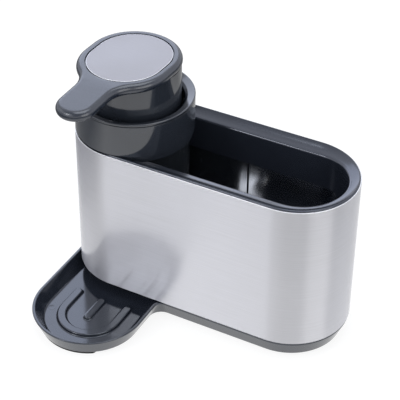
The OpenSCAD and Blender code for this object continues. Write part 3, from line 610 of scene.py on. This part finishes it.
# The dished base under the sleeve, with the drip tray that reaches forward under the spout
base = {
    "endRadius": 44.9, "trayRadius": 43.4, "cornerX": -17.35, "cornerY": -14.8, "cornerRadius": 5.0,
    "low": 2.0, "floor": 5.0, "rim": 15.0, "outerLean": 5.2, "edge": 0.6, "wall": 2.5, "innerLean": 6.1,
    "ribRadius": 24.9, "ribWidth": 6.6, "ribArm": 17.5, "ribHigh": 2.1, "ribSlope": 1.15,
    "middleWidth": 6.0, "middleLow": -40.3, "middleLength": 25.4,                       # the short rib
    "barPitch": 14.0, "bars": 7, "barWidth": 2.4, "barHigh": 5.0, "barReach": 26.0, "barRound": 0.6,
    "barSlope": 0.3, "seatOuter": 33.6, "seatInner": 31.2, "seatHigh": 15.2, "seatSlot": 8.0,
    "locateInner": 42.6, "locateOuter": 44.0, "locateHigh": 24.0, "locateStopY": 28.6,  # wall inside the sleeve
    "ledgeOuter": 44.45, "ledgeHigh": 16.0, "sunk": 0.5,           # how deep details stand in the moulding
    "markX": -95.7, "markY": -43.4, "markRadius": 2.8,             # the small disc on the tray's floor
    "markSunk": 0.3, "markEdge": 0.2, "markLip": 0.05, "markDish": 0.02,
}


# Outline of the base drawn in by a distance: two round ends, the tray's side and round end, the hollow
# corner and the front. Each arc keeps its centre while its radius changes by the distance.
def baseOutline(inset):
    b = base
    left, right, mid = -caddy["endX"], caddy["endX"], caddy["midY"]
    radius, tray, hollow = b["endRadius"] - inset, b["trayRadius"] - inset, b["cornerRadius"] + inset
    trayLeft, trayRight = caddy["bottleX"] - tray, caddy["bottleX"] + tray
    lean = math.degrees(math.acos((left - trayLeft) / radius))
    joinY = mid - radius * math.sin(math.radians(lean))
    corner = (b["cornerX"], b["cornerY"])
    return np.concatenate([
        arcPoints((right, mid), radius, -90, 90, 48),
        linePoints((right, mid + radius), (left, mid + radius), 16),
        arcPoints((left, mid), radius, 90, 180 + lean, 48),
        linePoints((trayLeft, joinY), (trayLeft, caddy["trayY"]), 10),
        arcPoints(trayCentre, tray, 180, 360, 72),
        linePoints((trayRight, caddy["trayY"]), (trayRight, corner[1]), 4),
        arcPoints(corner, hollow, 180, 90, 16),
        linePoints((corner[0], corner[1] + hollow), (right, mid - radius), 14),
    ])


# The moulding: its outline drawn in by the distances of a profile and put at their heights, from the
# underside up the leaning outer wall, over the rim and down to the tray's floor.
def baseShell():
    b = base
    leanAtFoot = b["outerLean"] * (b["rim"] - b["low"] - b["edge"]) / (b["rim"] - b["low"])
    profile = softProfile([
        (b["outerLean"] + b["edge"] + 1, b["low"]), (b["outerLean"] + b["edge"], b["low"]),
        (leanAtFoot, b["low"] + b["edge"]), (0, b["rim"]), (b["wall"], b["rim"]),
        (b["wall"] + b["innerLean"], b["floor"]), (b["wall"] + b["innerLean"] + 3, b["floor"]),
    ], (0, 0.5, 0.8, 0.7, 0.8, 2.4, 0), steps=8, closed=False)
    return shell(np.stack([atHeight(baseOutline(inset), height) for inset, height in profile]), capped=True)


# A raised shape on the floor. Its outline, given as a function of how far it is drawn in, goes up its side
# as share runs from 0 to 1. The drawing in is slope times |2 share - 1|^1.6, outwards in the lower half and
# inwards in the upper one, so the side is steepest half way up. The height is the floor plus
# high sin(90 degrees * share)^2.
def raisedShape(outlineAt, high, slope):
    floor = base["floor"]
    share = np.linspace(0, 1, 17)
    insets = slope * np.sign(share - 0.5) * np.abs(2 * share - 1) ** 1.6
    insets = np.concatenate([[-slope], insets, [slope + 0.15]])
    heights = np.concatenate([[floor - base["sunk"]], floor + high * np.sin(share * math.pi / 2) ** 2,
                              [floor + high]])
    return shell(np.stack([atHeight(outlineAt(inset), height) for inset, height in zip(insets, heights)]),
                 capped=True)


# Outline of the looped rib: an outer and an inner arc, joined by a half round at the end of each arm.
def loopRib(inset):
    b, centre = base, np.array(trayCentre)
    outer, inner = b["ribRadius"] - inset, b["ribRadius"] - b["ribWidth"] + inset
    middle, cap = b["ribRadius"] - b["ribWidth"] / 2, b["ribWidth"] / 2 - inset
    arm = centre + (0, b["ribArm"])
    return np.concatenate([
        arcPoints(centre, outer, 180, 360, 48),
        arcPoints(arm + (middle, 0), cap, 0, 180, 12),
        arcPoints(centre, inner, 360, 180, 40),
        arcPoints(arm - (middle, 0), cap, 0, 180, 12),
    ])


# Outline of the short rib: a half round at each end.
def middleRib(inset):
    b = base
    radius = b["middleWidth"] / 2 - inset
    low = np.array([caddy["bottleX"], b["middleLow"]])
    return np.concatenate([
        arcPoints(low, radius, 180, 360, 16),
        arcPoints(low + (0, b["middleLength"] - b["middleWidth"]), radius, 0, 180, 16),
    ])


# A bar across the well, on which the sponge lies.
def barOutline(x, inset):
    wide, long = base["barWidth"] / 2 - inset, base["barReach"] - inset
    cornerRound = min(base["barRound"], wide * 0.8)
    aside, ahead = wide - cornerRound, long - cornerRound
    corners = ((aside, ahead, 0), (-aside, ahead, 90), (-aside, -ahead, 180), (aside, -ahead, 270))
    return np.concatenate([arcPoints((x + cornerX, caddy["midY"] + cornerY), cornerRound, turn, turn + 90, 4)
                           for cornerX, cornerY, turn in corners])


# The ribs, the bars, the bottle's seat ring in four pieces, and the small disc.
def baseDetails():
    b, floor = base, base["floor"]
    parts = [raisedShape(outline, b["ribHigh"], b["ribSlope"]) for outline in (loopRib, middleRib)]
    for i in range(b["bars"]):
        x = caddy["endX"] - i * b["barPitch"]
        parts.append(raisedShape(lambda inset: barOutline(x, inset), b["barHigh"], b["barSlope"]))
    seat = boxSection(b["seatInner"], b["seatOuter"], floor - b["sunk"], b["seatHigh"], (0, 0, 0.5, 0.5))
    gapAngle = math.degrees(math.asin(b["seatSlot"] / 2 / b["seatOuter"]))
    for turn in (0, 90, 180, 270):
        parts.append(revolve(seat, pumpAxis, 28, firstAngle=turn + gapAngle, lastAngle=turn + 90 - gapAngle))
    radius, edge, low, dish = b["markRadius"], b["markEdge"], floor - b["markSunk"], floor + b["markDish"]
    mark = [(0, low), (radius, low), (radius, floor), (radius - edge, floor + b["markLip"]),
            (radius - 2 * edge, dish), (0, dish)]
    parts.append(revolve(mark, (b["markX"], b["markY"]), 32, closed=False))
    return parts


# Wall that locates the sleeve from inside, with the ledge the sleeve stands on; it stops at the tray's mouth.
def sleeveLocator():
    b, endX, low = base, caddy["endX"], base["rim"] - base["sunk"]
    profile = softProfile([
        (b["locateInner"], low), (b["ledgeOuter"], low), (b["ledgeOuter"], b["ledgeHigh"]),
        (b["locateOuter"], b["ledgeHigh"]), (b["locateOuter"], b["locateHigh"]),
        (b["locateInner"], b["locateHigh"]),
    ], (0, 0, 0.15, 0, 0.45, 0.45))
    stopAngle = 180 + math.degrees(math.asin((caddy["midY"] - b["locateStopY"]) / b["locateOuter"]))
    front, back = np.linspace(b["cornerX"], endX, 14)[:-1], np.linspace(endX, -endX, 18)[1:-1]
    rightArc, leftArc = np.linspace(-90, 90, 49), np.linspace(90, stopAngle, 26)
    spine = np.concatenate([front, np.full(len(rightArc), endX), back, np.full(len(leftArc), -endX)])
    facing = np.concatenate([np.full(len(front), -90), rightArc, np.full(len(back), 90), leftArc])
    return cappedBand(sweep(profile, spine, np.radians(facing)))


addPiece("base_tray_skin", [baseShell(), sleeveLocator()] + baseDetails(), "base",
         finishes["base"], ["base_tray"])

# Rubber feet: a strip under the front of the tray, and one under each end of the body
feet = {"high": 2.0, "width": 6.0, "trayOuter": 37.5, "endOuter": 36.0, "halfSpan": 38.0, "rear": 140.0,
        "tipSteps": 7, "steps": 30, "tipLeast": 0.02}


# An arc of rubber: a soft section turned round an upright axis, narrowing to a round end at both tips.
def footArc(centre, outer, direction):
    f, half = feet, feet["width"] / 2
    middle = outer - half
    endTurn = math.degrees(half / middle)
    first, last = direction - f["halfSpan"], direction + f["halfSpan"]
    tips = np.radians(np.linspace(0, 90, f["tipSteps"] + 1))[:-1]
    tipTurns, tipWidths = endTurn * (1 - np.cos(tips)), np.sin(tips)
    angles = np.concatenate([first + tipTurns, np.linspace(first + endTurn, last - endTurn, f["steps"]),
                             (last - tipTurns)[::-1]])
    widths = np.maximum(np.concatenate([tipWidths, np.ones(f["steps"]), tipWidths[::-1]]), f["tipLeast"])
    section = boxSection(-half, half, 0, f["high"], (0.6, 0.6, 0.05, 0.05))
    return cappedBand(ringPoints(centre, middle + section[:, :1] * widths, np.radians(angles), section[:, 1:]))


addPiece("tray_foot_skin", [footArc(trayCentre, feet["trayOuter"], -90)],
         "base", finishes["foot"], ["tray_foot"])
addPiece("base_feet_skin", [footArc((caddy["endX"], caddy["midY"]), feet["endOuter"], 0),
                            footArc((-caddy["endX"], caddy["midY"]), feet["endOuter"], feet["rear"])],
         "base", finishes["foot"], ["base_feet"])

# The soap bottle, with three lugs outside its mouth for the collar
bottle = {
    "outer": 39.7, "wall": 1.6, "seatHeight": 15.5, "low": 13.5, "footRadius": 34.2, "edge": 3.0, "high": 157.7,
    "lugOuter": 41.0, "lugLow": 148.7, "lugHigh": 151.7, "lugSpan": 36.0, "lugSunk": 0.4,
}


# Three lugs of a bayonet, evenly round the pump's axis.
def lugShells(inner, outer, low, high):
    section = boxSection(inner, outer, low, high, (0, 0.35, 0.35, 0), 3)
    half = bottle["lugSpan"] / 2
    return [revolve(section, pumpAxis, 14, firstAngle=turn - half, lastAngle=turn + half)
            for turn in (0, 120, 240)]


# A profile of radius and height, from the middle of the floor's underside out, up the wall and back down
# inside, carried round the pump's axis.
def buildBottle():
    b = bottle
    inner, floor = b["outer"] - b["wall"], b["seatHeight"]
    profile = softProfile([
        (0, floor), (b["footRadius"], floor), (b["footRadius"], b["low"]), (b["outer"] - b["edge"], b["low"]),
        (b["outer"], b["low"] + b["edge"]), (b["outer"], b["high"]), (inner, b["high"]),
        (inner, floor + b["wall"]), (0, floor + b["wall"]),
    ], (0, 0.5, 0.6, 1.2, 1.5, 0.5, 0.5, 3.0, 0), steps=6, closed=False)
    addPiece("soap_bottle_skin", [revolve(profile, pumpAxis, 144, closed=False)]
             + lugShells(inner + b["lugSunk"], b["lugOuter"], b["lugLow"], b["lugHigh"]),
             "bottle", finishes["bottle"], ["soap_bottle"])


buildBottle()

# The collar that closes the bottle, and the cup in it for the head's skirt
collar = {
    "outer": 43.9, "inner": 41.4, "low": 131.0, "high": 161.1, "spigotRadius": 42.9, "spigotHigh": 134.7,
    "groove": 0.5, "grooveDepth": 0.8, "lugInner": 40.1, "lugLow": 142.4, "lugHigh": 145.4,
    "lip": 44.0, "lipHigh": 163.3, "mouth": 38.3, "mouthDrop": 1.9, "bore": 36.4, "cupWall": 1.2,
    "flangeLow": 159.4, "flangeOuter": 41.2, "cupLow": 129.1, "cupFloor": 131.1, "hole": 8.6,
}


# A ring with a spigot that stands in the rim's pocket, and a step that shows as a groove under the cup's lip.
def buildCollar():
    c = collar
    grooveRadius, grooveLow = c["outer"] - c["grooveDepth"], c["high"] - c["groove"]
    profile = softProfile([
        (c["inner"], c["low"]), (c["spigotRadius"], c["low"]), (c["spigotRadius"], c["spigotHigh"]),
        (c["outer"], c["spigotHigh"] + 1), (c["outer"], grooveLow), (grooveRadius, grooveLow),
        (grooveRadius, c["high"]), (c["inner"], c["high"]),
    ], (0.3, 0.4, 0, 0.3, 0.22, 0, 0, 0.2), steps=5)
    addPiece("lid_collar_skin", [revolve(profile, pumpAxis, 160)]
             + lugShells(c["lugInner"], c["inner"] + bottle["lugSunk"], c["lugLow"], c["lugHigh"]),
             "lid", finishes["collar"], ["lid_collar"])


# A cup with a funnel lip that lies on the collar, a flange over the bottle's mouth and a hole in its floor.
def buildCup():
    c = collar
    wall, slopeFoot = c["bore"] + c["cupWall"], c["lipHigh"] - c["mouthDrop"]
    profile = softProfile([
        (c["mouth"], slopeFoot), (c["lip"], c["lipHigh"]), (c["lip"], c["high"]),
        (c["flangeOuter"], c["high"]), (c["flangeOuter"], c["flangeLow"]), (wall, c["flangeLow"]),
        (wall, c["cupLow"]), (c["hole"], c["cupLow"]), (c["hole"], c["cupFloor"]), (c["bore"], c["cupFloor"]),
        (c["bore"], slopeFoot - (c["mouth"] - c["bore"])),
    ], (1.1, 0.95, 0.25, 0, 0.2, 0.3, 0.6, 0.2, 0.2, 1.0, 1.0), steps=6)
    addPiece("pump_cup_skin", [revolve(profile, pumpAxis, 160)], "lid",
             finishes["collar"], ["pump_cup"])


buildCollar()
buildCup()

# The pump head: a shell with the spout, the housing under it, and the plate let into its top
head = {
    "round": 34.75, "ahead": 10.7, "spoutHalf": 14.5, "tip": -71.2, "cornerX": 37.1, "cornerY": -54.43,
    "cornerRadius": 22.6, "middle": 190.5, "edge": 4.0, "part": 188.3, "partGap": 0.12,
    "bend": -45.45, "droop": math.tan(math.radians(2.75)), "wall": 2.4, "cavity": 191.6,
    "plate": 27.9, "plateGap": 0.9, "plateThick": 1.4, "plateLow": 193.0, "plateEdge": 0.3,
    "plateFoot": 0.1, "plateFlat": (0.3, 1.2),
    "recessEdge": ((0, 0), (0.04, 0.02), (0.09, 0.06), (0.12, 0.12)),      # steps inwards and down
    "topShares": (0.04, 0.15, 0.3, 0.5, 0.7, 0.85, 0.96),                  # of the way from edge to recess
    "skirt": 34.1, "skirtWall": 1.8, "skirtLow": 148.3, "boss": 7.0, "bore": 4.05, "bossLow": 177.3,
    "shellLip": 0.25, "jointInsets": (1.4, 0.5), "jointDrop": 0.02, "tubeDrop": 0.6, "underInset": 0.4,
}


# From the head's own plan, with the pump's axis at the origin and the spout towards -Y, to the frame.
def fromHeadPlan(points):
    turn = math.radians(caddy["headTurn"])
    x, y = points[..., 0], points[..., 1]
    placed = np.array(points, float)
    placed[..., 0] = pumpAxis[0] + x * math.cos(turn) - y * math.sin(turn)
    placed[..., 1] = pumpAxis[1] + x * math.sin(turn) + y * math.cos(turn)
    return placed


# Outline of the head drawn in by a distance: two round ends, the hollow corners and the spout.
def headOutline(inset):
    h = head
    radius, hollow, spout = h["round"] - inset, h["cornerRadius"] + inset, h["spoutHalf"] - inset
    cornerTurn = math.degrees(math.atan2(-h["ahead"] - h["cornerY"], h["cornerX"]))
    return np.concatenate([
        arcPoints((0, 0), radius, 0, 180, 72),
        arcPoints((0, -h["ahead"]), radius, 180, 180 + cornerTurn, 22),
        arcPoints((-h["cornerX"], h["cornerY"]), hollow, cornerTurn, 0, 16, skipFirst=True),
        linePoints((-spout, h["cornerY"]), (-spout, h["tip"]), 8),
        arcPoints((0, h["tip"]), spout, 180, 360, 40),
        linePoints((spout, h["tip"]), (spout, h["cornerY"]), 8),
        arcPoints((h["cornerX"], h["cornerY"]), hollow, 180, 180 - cornerTurn, 16, skipLast=True),
        arcPoints((0, -h["ahead"]), radius, 360 - cornerTurn, 360, 22, skipLast=True),
    ])


# Outline of the plate: two half rounds with straight sides between them.
def plateOutline(radius):
    return np.concatenate([arcPoints((0, 0), radius, 0, 180, 64),
                           arcPoints((0, -head["ahead"]), radius, 180, 360, 64)])


# For each point of the head's outline, the point of the plate's recess in the same direction, seen from
# the nearer of the two round ends' centres.
def recessOutline(outline, radius):
    y = outline[:, 1]
    centreY = np.clip(y, -head["ahead"], 0)
    angle = np.arctan2(y - centreY, outline[:, 0])
    return np.stack([radius * np.cos(angle), centreY + radius * np.sin(angle)], -1)


# An outline at a height, lowered by the spout's droop: the part of it ahead of the bend, times the slope.
def headRing(outline, height):
    drooped = head["droop"] * np.maximum(0, head["bend"] - outline[:, 1])
    return np.concatenate([outline, (height - drooped)[:, None]], 1)


# How far the outline is drawn in at an angle of the head's round edge.
def edgeInset(angle):
    return head["edge"] * (1 - math.cos(angle))


# Rings up or down the round edge, at middle + edge sin(angle).
def edgeRings(first, last, steps):
    return [headRing(headOutline(edgeInset(angle)), head["middle"] + head["edge"] * math.sin(angle))
            for angle in np.linspace(first, last, steps)]


# Rings of the head's outline, from the cavity's roof down to the joint with the housing, up the round edge,
# over the flat top and down into the plate's recess.
def buildHeadShell():
    h = head
    joint, top, recess = h["part"] + h["partGap"], h["middle"] + h["edge"], h["plate"] + h["plateGap"]
    first = math.asin((joint - h["middle"]) / h["edge"])
    wallOutline, edgeOutline = headOutline(h["wall"]), headOutline(h["edge"])
    mouth = recess + h["recessEdge"][-1][0]
    hole = recessOutline(edgeOutline, mouth)
    rings = [headRing(wallOutline, h["cavity"]), headRing(wallOutline, joint),
             headRing(headOutline(edgeInset(first) + h["shellLip"]), joint)]
    rings += edgeRings(first, math.pi / 2, 17)
    rings += [headRing((1 - share) * edgeOutline + share * hole, top) for share in h["topShares"]]
    rings += [headRing(recessOutline(edgeOutline, mouth - inset), top - drop) for inset, drop in h["recessEdge"]]
    rings.append(headRing(recessOutline(edgeOutline, recess), h["plateLow"]))
    addPiece("head_shell_skin", [shell(fromHeadPlan(np.stack(rings)), capped=True)], "head",
             finishes["head"], ["head_shell"])


# The lower part of the round edge, from the joint down to the flat underside, with the skirt's tube and the
# boss for the stem turned round the pump's axis.
def buildHeadHousing():
    h = head
    joint, under = h["part"] - h["jointDrop"], h["part"] - h["tubeDrop"]
    first = math.asin((h["part"] - h["partGap"] - h["middle"]) / h["edge"])
    rings = [headRing(headOutline(edgeInset(first) + inset), joint) for inset in h["jointInsets"]]
    rings += edgeRings(first, -math.pi / 2, 12)
    rings.append(headRing(headOutline(h["edge"] + h["underInset"]), h["middle"] - h["edge"]))
    plate = shell(fromHeadPlan(np.stack(rings)), capped=True)
    tube = boxSection(h["skirt"] - h["skirtWall"], h["skirt"], h["skirtLow"], under, (0.5, 0.6, 0, 0), 5)
    boss = boxSection(h["bore"], h["boss"], h["bossLow"], under, (0.4, 0.4, 0, 0))
    addPiece("head_housing_skin", [plate, revolve(tube, pumpAxis, 160), revolve(boss, pumpAxis, 48)],
             "head", finishes["skirt"], ["head_housing"])


# The plate's outline drawn in and put at heights: up its side, round its upper edge by a quarter round, and
# onto its flat top. Kinds of face: 0 brushed, 1 the bright edge.
def buildInlay():
    h, low, soft, foot = head, head["plateLow"], head["plateEdge"], head["plateFoot"]
    top = low + h["plateThick"]
    angles = np.radians(np.linspace(0, 90, 6))
    insets = np.concatenate([[foot, 0], soft * (1 - np.cos(angles)), [soft + step for step in h["plateFlat"]]])
    heights = np.concatenate([[low, low + foot], top - soft + soft * np.sin(angles), [top, top]])
    rings = [atHeight(plateOutline(h["plate"] - inset), height) for inset, height in zip(insets, heights)]
    piece = addPiece("head_inlay_skin", [shell(fromHeadPlan(np.stack(rings)), capped=True)], "head",
                     finishes["inlay"], ["head_inlay"])
    piece.data.materials.append(finishes["cutEdge"])
    middles, normals = facesOf(piece)
    onEdge = (middles[:, 2] > top - soft) & (normals[:, 2] < 0.99)
    piece.data.polygons.foreach_set("material_index", onEdge.astype(np.int32))


buildHeadShell()
buildHeadHousing()
buildInlay()

# The return spring round the stem
spring = {"coil": 5.3, "wire": 0.45, "turns": 9, "closedPitch": 1.05, "press": 16, "steps": 40, "sides": 12}


# The wire's middle runs round the stem: x = coil cos(angle), y = coil sin(angle). Its first and last turns
# lie closed and the turns between climb evenly. It is pressed together towards its lower seat.
def buildSpring():
    s = spring
    lowest, highest = (corner[2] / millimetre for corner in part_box("return_spring"))
    low, high = lowest + s["wire"], highest - s["wire"]
    closed = 2 * s["wire"] * s["closedPitch"]
    turns = np.linspace(0, s["turns"], s["turns"] * s["steps"] + 1)
    middle = np.interp(turns, [0, 1, s["turns"] - 1, s["turns"]], [low, low + closed, high - closed, high])
    around = np.radians(360 / s["sides"] * np.arange(s["sides"]))
    grid = ringPoints(pumpAxis, s["coil"] + s["wire"] * np.cos(around), 2 * math.pi * turns[:, None],
                      middle[:, None] + s["wire"] * np.sin(around))
    piece = addPiece("return_spring_skin", [shell(grid, capped=True)], "lid",
                     finishes["valve"], ["return_spring"])
    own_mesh(piece)


buildSpring()

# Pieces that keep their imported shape
keptFinishes = {
    "lid_gasket": "seal", "pump_chamber": "pump", "chamber_gasket": "seal", "stem_guide": "pump",
    "dip_tube": "pump", "inlet_ball": "valve", "pump_stem": "pump", "piston": "pump",
    "piston_seal": "seal", "outlet_ball": "valve", "spout_tube": "pump",
}
for nodeName, finishName in keptFinishes.items():
    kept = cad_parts[nodeName]
    kept.data.materials.clear()
    kept.data.materials.append(finishes[finishName])
print("kept nodes finished:", len(keptFinishes))

# The camera: its place, three angles in degrees, and its focal length in pixels of the picture's width
view = {"place": (367.7, -690.1, 695.2), "turn": 27.613, "tilt": 36.710, "roll": 0.673, "focal": 1381.1,
        "pixels": 400, "sensor": 36}


# The matrix of an object, from where its three axes point and where it stands, in metres.
def placedMatrix(x, y, z, place):
    return Matrix([*np.stack([x, y, z, place], -1).tolist(), (0, 0, 0, 1)])


# The camera looks along (-sin turn cos tilt, cos turn cos tilt, -sin tilt) and is rolled about that line.
def addCamera():
    turn, tilt, roll = (math.radians(view[key]) for key in ("turn", "tilt", "roll"))
    ahead = np.array([-math.sin(turn) * math.cos(tilt), math.cos(turn) * math.cos(tilt), -math.sin(tilt)])
    across = np.cross(ahead, (0, 0, 1))
    across = across / np.linalg.norm(across)
    up = np.cross(across, ahead)
    right = math.cos(roll) * across + math.sin(roll) * up
    top = math.cos(roll) * up - math.sin(roll) * across
    lens = bpy.data.cameras.new("camera")
    lens.sensor_width = view["sensor"]
    lens.lens = view["focal"] / view["pixels"] * view["sensor"]
    lens.clip_start, lens.clip_end = 0.05, 30
    camera = bpy.data.objects.new("camera", lens)
    camera.matrix_world = placedMatrix(right, top, -ahead, np.array(view["place"]) * millimetre)
    bpy.context.scene.collection.objects.link(camera)
    bpy.context.scene.camera = camera


# World and floor, in metres. The pool is a painted glow on the floor that only mirrors see, and it shows in the
# steel as a painted reflection: it is white about poolX, and past poolWide, poolFront and poolBack it fades over
# poolFade to the shares poolEdge and poolBehind.
light = {
    "worldStrength": 0.5, "worldColour": (0.97, 0.98, 1), "roomDark": 0.4, "roomSide": (0.2, -0.8, 0.57),
    "roomFade": (0.1, 0.75), "roomColour": (0.90, 0.92, 1),        # cosines between which the room darkens
    "floorHalf": 4.0, "floorColour": 0.8, "floorSeenLit": 0.22,
    "floorMirroredLit": 0.1, "floorGlow": 0.86, "floorMirrored": 0.90, "poolX": 0.045, "poolWide": 0.215,
    "poolFade": 0.11, "poolFront": 0.29, "poolEdge": 0.2, "poolBack": 0.2, "poolBehind": 0.45,
}


# 1 for the kinds of ray that are named, else 0.
def seenBy(nodes, links, *rays):
    path = nodes.new("ShaderNodeLightPath")
    value = path.outputs[rays[0]]
    for ray in rays[1:]:
        value = mathNode(nodes, links, "MAXIMUM", value, path.outputs[ray])
    return value


# One of two shaders by a share.
def mixedShader(nodes, links, share, first, second):
    mix = nodes.new("ShaderNodeMixShader")
    for socket, value in zip(mix.inputs, (share, first, second)):
        links.new(value, socket)
    return mix.outputs["Shader"]


# The camera and glass see white. Mirrors see a cool white that darkens towards the room before the object,
# and softer light falls on the object.
def addWorld():
    world = bpy.data.worlds.new("paleStudio")
    bpy.context.scene.world = world
    world.use_nodes = True
    nodes, links = world.node_tree.nodes, world.node_tree.links
    nodes.clear()
    facing = nodes.new("ShaderNodeVectorMath")
    facing.operation = "DOT_PRODUCT"
    facing.inputs[1].default_value = light["roomSide"]
    links.new(nodes.new("ShaderNodeTexCoord").outputs["Generated"], facing.inputs[0])
    room = rangeNode(nodes, links, facing.outputs["Value"], 1, light["roomDark"], *light["roomFade"])
    camera = seenBy(nodes, links, "Is Camera Ray", "Is Transmission Ray")
    cool = nodes.new("ShaderNodeMixRGB")
    setSockets(cool, {"Color1": (*light["roomColour"], 1), "Color2": (1, 1, 1, 1)})
    links.new(camera, cool.inputs["Fac"])
    white, soft = nodes.new("ShaderNodeBackground"), nodes.new("ShaderNodeBackground")
    links.new(cool.outputs["Color"], white.inputs["Color"])
    links.new(mathNode(nodes, links, "MAXIMUM", room, camera), white.inputs["Strength"])
    setSockets(soft, {"Color": (*light["worldColour"], 1), "Strength": light["worldStrength"]})
    direct = seenBy(nodes, links, "Is Camera Ray", "Is Transmission Ray", "Is Glossy Ray")
    mixed = mixedShader(nodes, links, direct, soft.outputs["Background"], white.outputs["Background"])
    links.new(mixed, nodes.new("ShaderNodeOutputWorld").inputs["Surface"])


# A surface that is lit by the lamps and glows by itself. The glow is a number or another node's output.
def paleShader(nodes, links, colour, strength):
    lit, glow = nodes.new("ShaderNodeBsdfDiffuse"), nodes.new("ShaderNodeEmission")
    lit.inputs["Color"].default_value = (colour,) * 3 + (1,)
    if isinstance(strength, float):
        glow.inputs["Strength"].default_value = strength
    else:
        links.new(strength, glow.inputs["Strength"])
    added = nodes.new("ShaderNodeAddShader")
    links.new(lit.outputs["BSDF"], added.inputs[0])
    links.new(glow.outputs["Emission"], added.inputs[1])
    return added.outputs["Shader"]


# Pale floor: most of what the camera sees is an even white, and the rest is lit, so it keeps the shadow.
# In mirrors it is a painted glow, a pool of white that fades to the sides, the front and the back, and it is lit
# by the lamps as well.
def addFloor():
    mesh = bpy.data.meshes.new("studioFloor")
    half, fade = light["floorHalf"], light["poolFade"]
    mesh.from_pydata([(-half, -half, 0), (half, -half, 0), (half, half, 0), (-half, half, 0)], [], [(0, 1, 2, 3)])
    floor = bpy.data.objects.new("studioFloor", mesh)
    bpy.context.scene.collection.objects.link(floor)
    finish, nodes, links, shader = newFinish("paleFloor")
    nodes.remove(shader)
    place = nodes.new("ShaderNodeSeparateXYZ")
    links.new(objectPlace(nodes), place.inputs["Vector"])
    away = mathNode(nodes, links, "ABSOLUTE",
                    mathNode(nodes, links, "SUBTRACT", place.outputs["X"], light["poolX"]))
    aside = rangeNode(nodes, links, away, 1, light["poolEdge"], light["poolWide"], light["poolWide"] + fade)
    before = rangeNode(nodes, links, place.outputs["Y"], light["poolEdge"], 1,
                       -light["poolFront"] - fade, -light["poolFront"])
    behind = rangeNode(nodes, links, place.outputs["Y"], 1, light["poolBehind"],
                       light["poolBack"], light["poolBack"] + fade)
    # Painted glow: the floor glows brighter near the object and only mirrors see it, so it paints a reflection
    # into the steel.
    pool = light["floorMirrored"]
    for share in (aside, before, behind):
        pool = mathNode(nodes, links, "MULTIPLY", pool, share)
    bounced = paleShader(nodes, links, light["floorColour"], 0.0)
    mirrored = paleShader(nodes, links, light["floorMirroredLit"], pool)
    seen = paleShader(nodes, links, light["floorSeenLit"], light["floorGlow"])
    indirect = mixedShader(nodes, links, seenBy(nodes, links, "Is Glossy Ray"), bounced, mirrored)
    direct = seenBy(nodes, links, "Is Camera Ray", "Is Transmission Ray")
    links.new(mixedShader(nodes, links, direct, indirect, seen), nodes["Material Output"].inputs["Surface"])
    mesh.materials.append(finish)


softboxes = [
    # name, place in metres, what it points at, width, height, watts, colour
    ("frontSoftbox", (0.15, -1.9, 0.45), (0, 0, 0.08), 3.8, 0.7, 5, (1, 0.98, 0.98)),
    ("highSoftbox", (-0.65, -1.51, 1.25), (0, 0, 0.08), 1.6, 0.9, 4, (0.92, 0.94, 1)),
    ("edgeSoftbox", (-0.76, -1.40, 1.40), (0, 0, 0.12), 0.42, 0.8, 5, (0.92, 0.94, 1)),
    ("highLeftSoftbox", (-1.52, -0.63, 1.25), (0, 0, 0.08), 1.3, 0.8, 2, (0.96, 0.96, 1)),
    ("rightSoftbox", (1.45, -0.53, 0.7), (0, 0, 0.08), 1.1, 1.0, 5.5, (1, 0.99, 0.98)),
    ("backSoftbox", (-1.04, 1.33, 0.98), (0, 0, 0.12), 1.3, 1.1, 6.5, (0.68, 0.765, 1.0)),
    ("topSoftbox", (0.2, 0.1, 1.9), (0, 0, 0.1), 1.2, 1.2, 10, (0.86, 0.92, 1)),
]


# Each lamp's back points away from its target, and its width stays level.
def addSoftboxes():
    for name, place, target, width, height, watts, colour in softboxes:
        lamp = bpy.data.lights.new(name, "AREA")
        lamp.shape = "RECTANGLE"
        lamp.size, lamp.size_y = width, height
        lamp.energy, lamp.color = watts, colour
        box = bpy.data.objects.new(name, lamp)
        back = np.array(place, float) - np.array(target, float)
        back = back / np.linalg.norm(back)
        side = np.cross((0, 0, 1), back)
        side = side / np.linalg.norm(side)
        box.matrix_world = placedMatrix(side, np.cross(back, side), back, place)
        bpy.context.scene.collection.objects.link(box)


addCamera()
addWorld()
addFloor()
addSoftboxes()
bpy.context.scene.view_settings.view_transform = "Standard"
print("camera, floor and light in place")

bpy.context.view_layer.update()
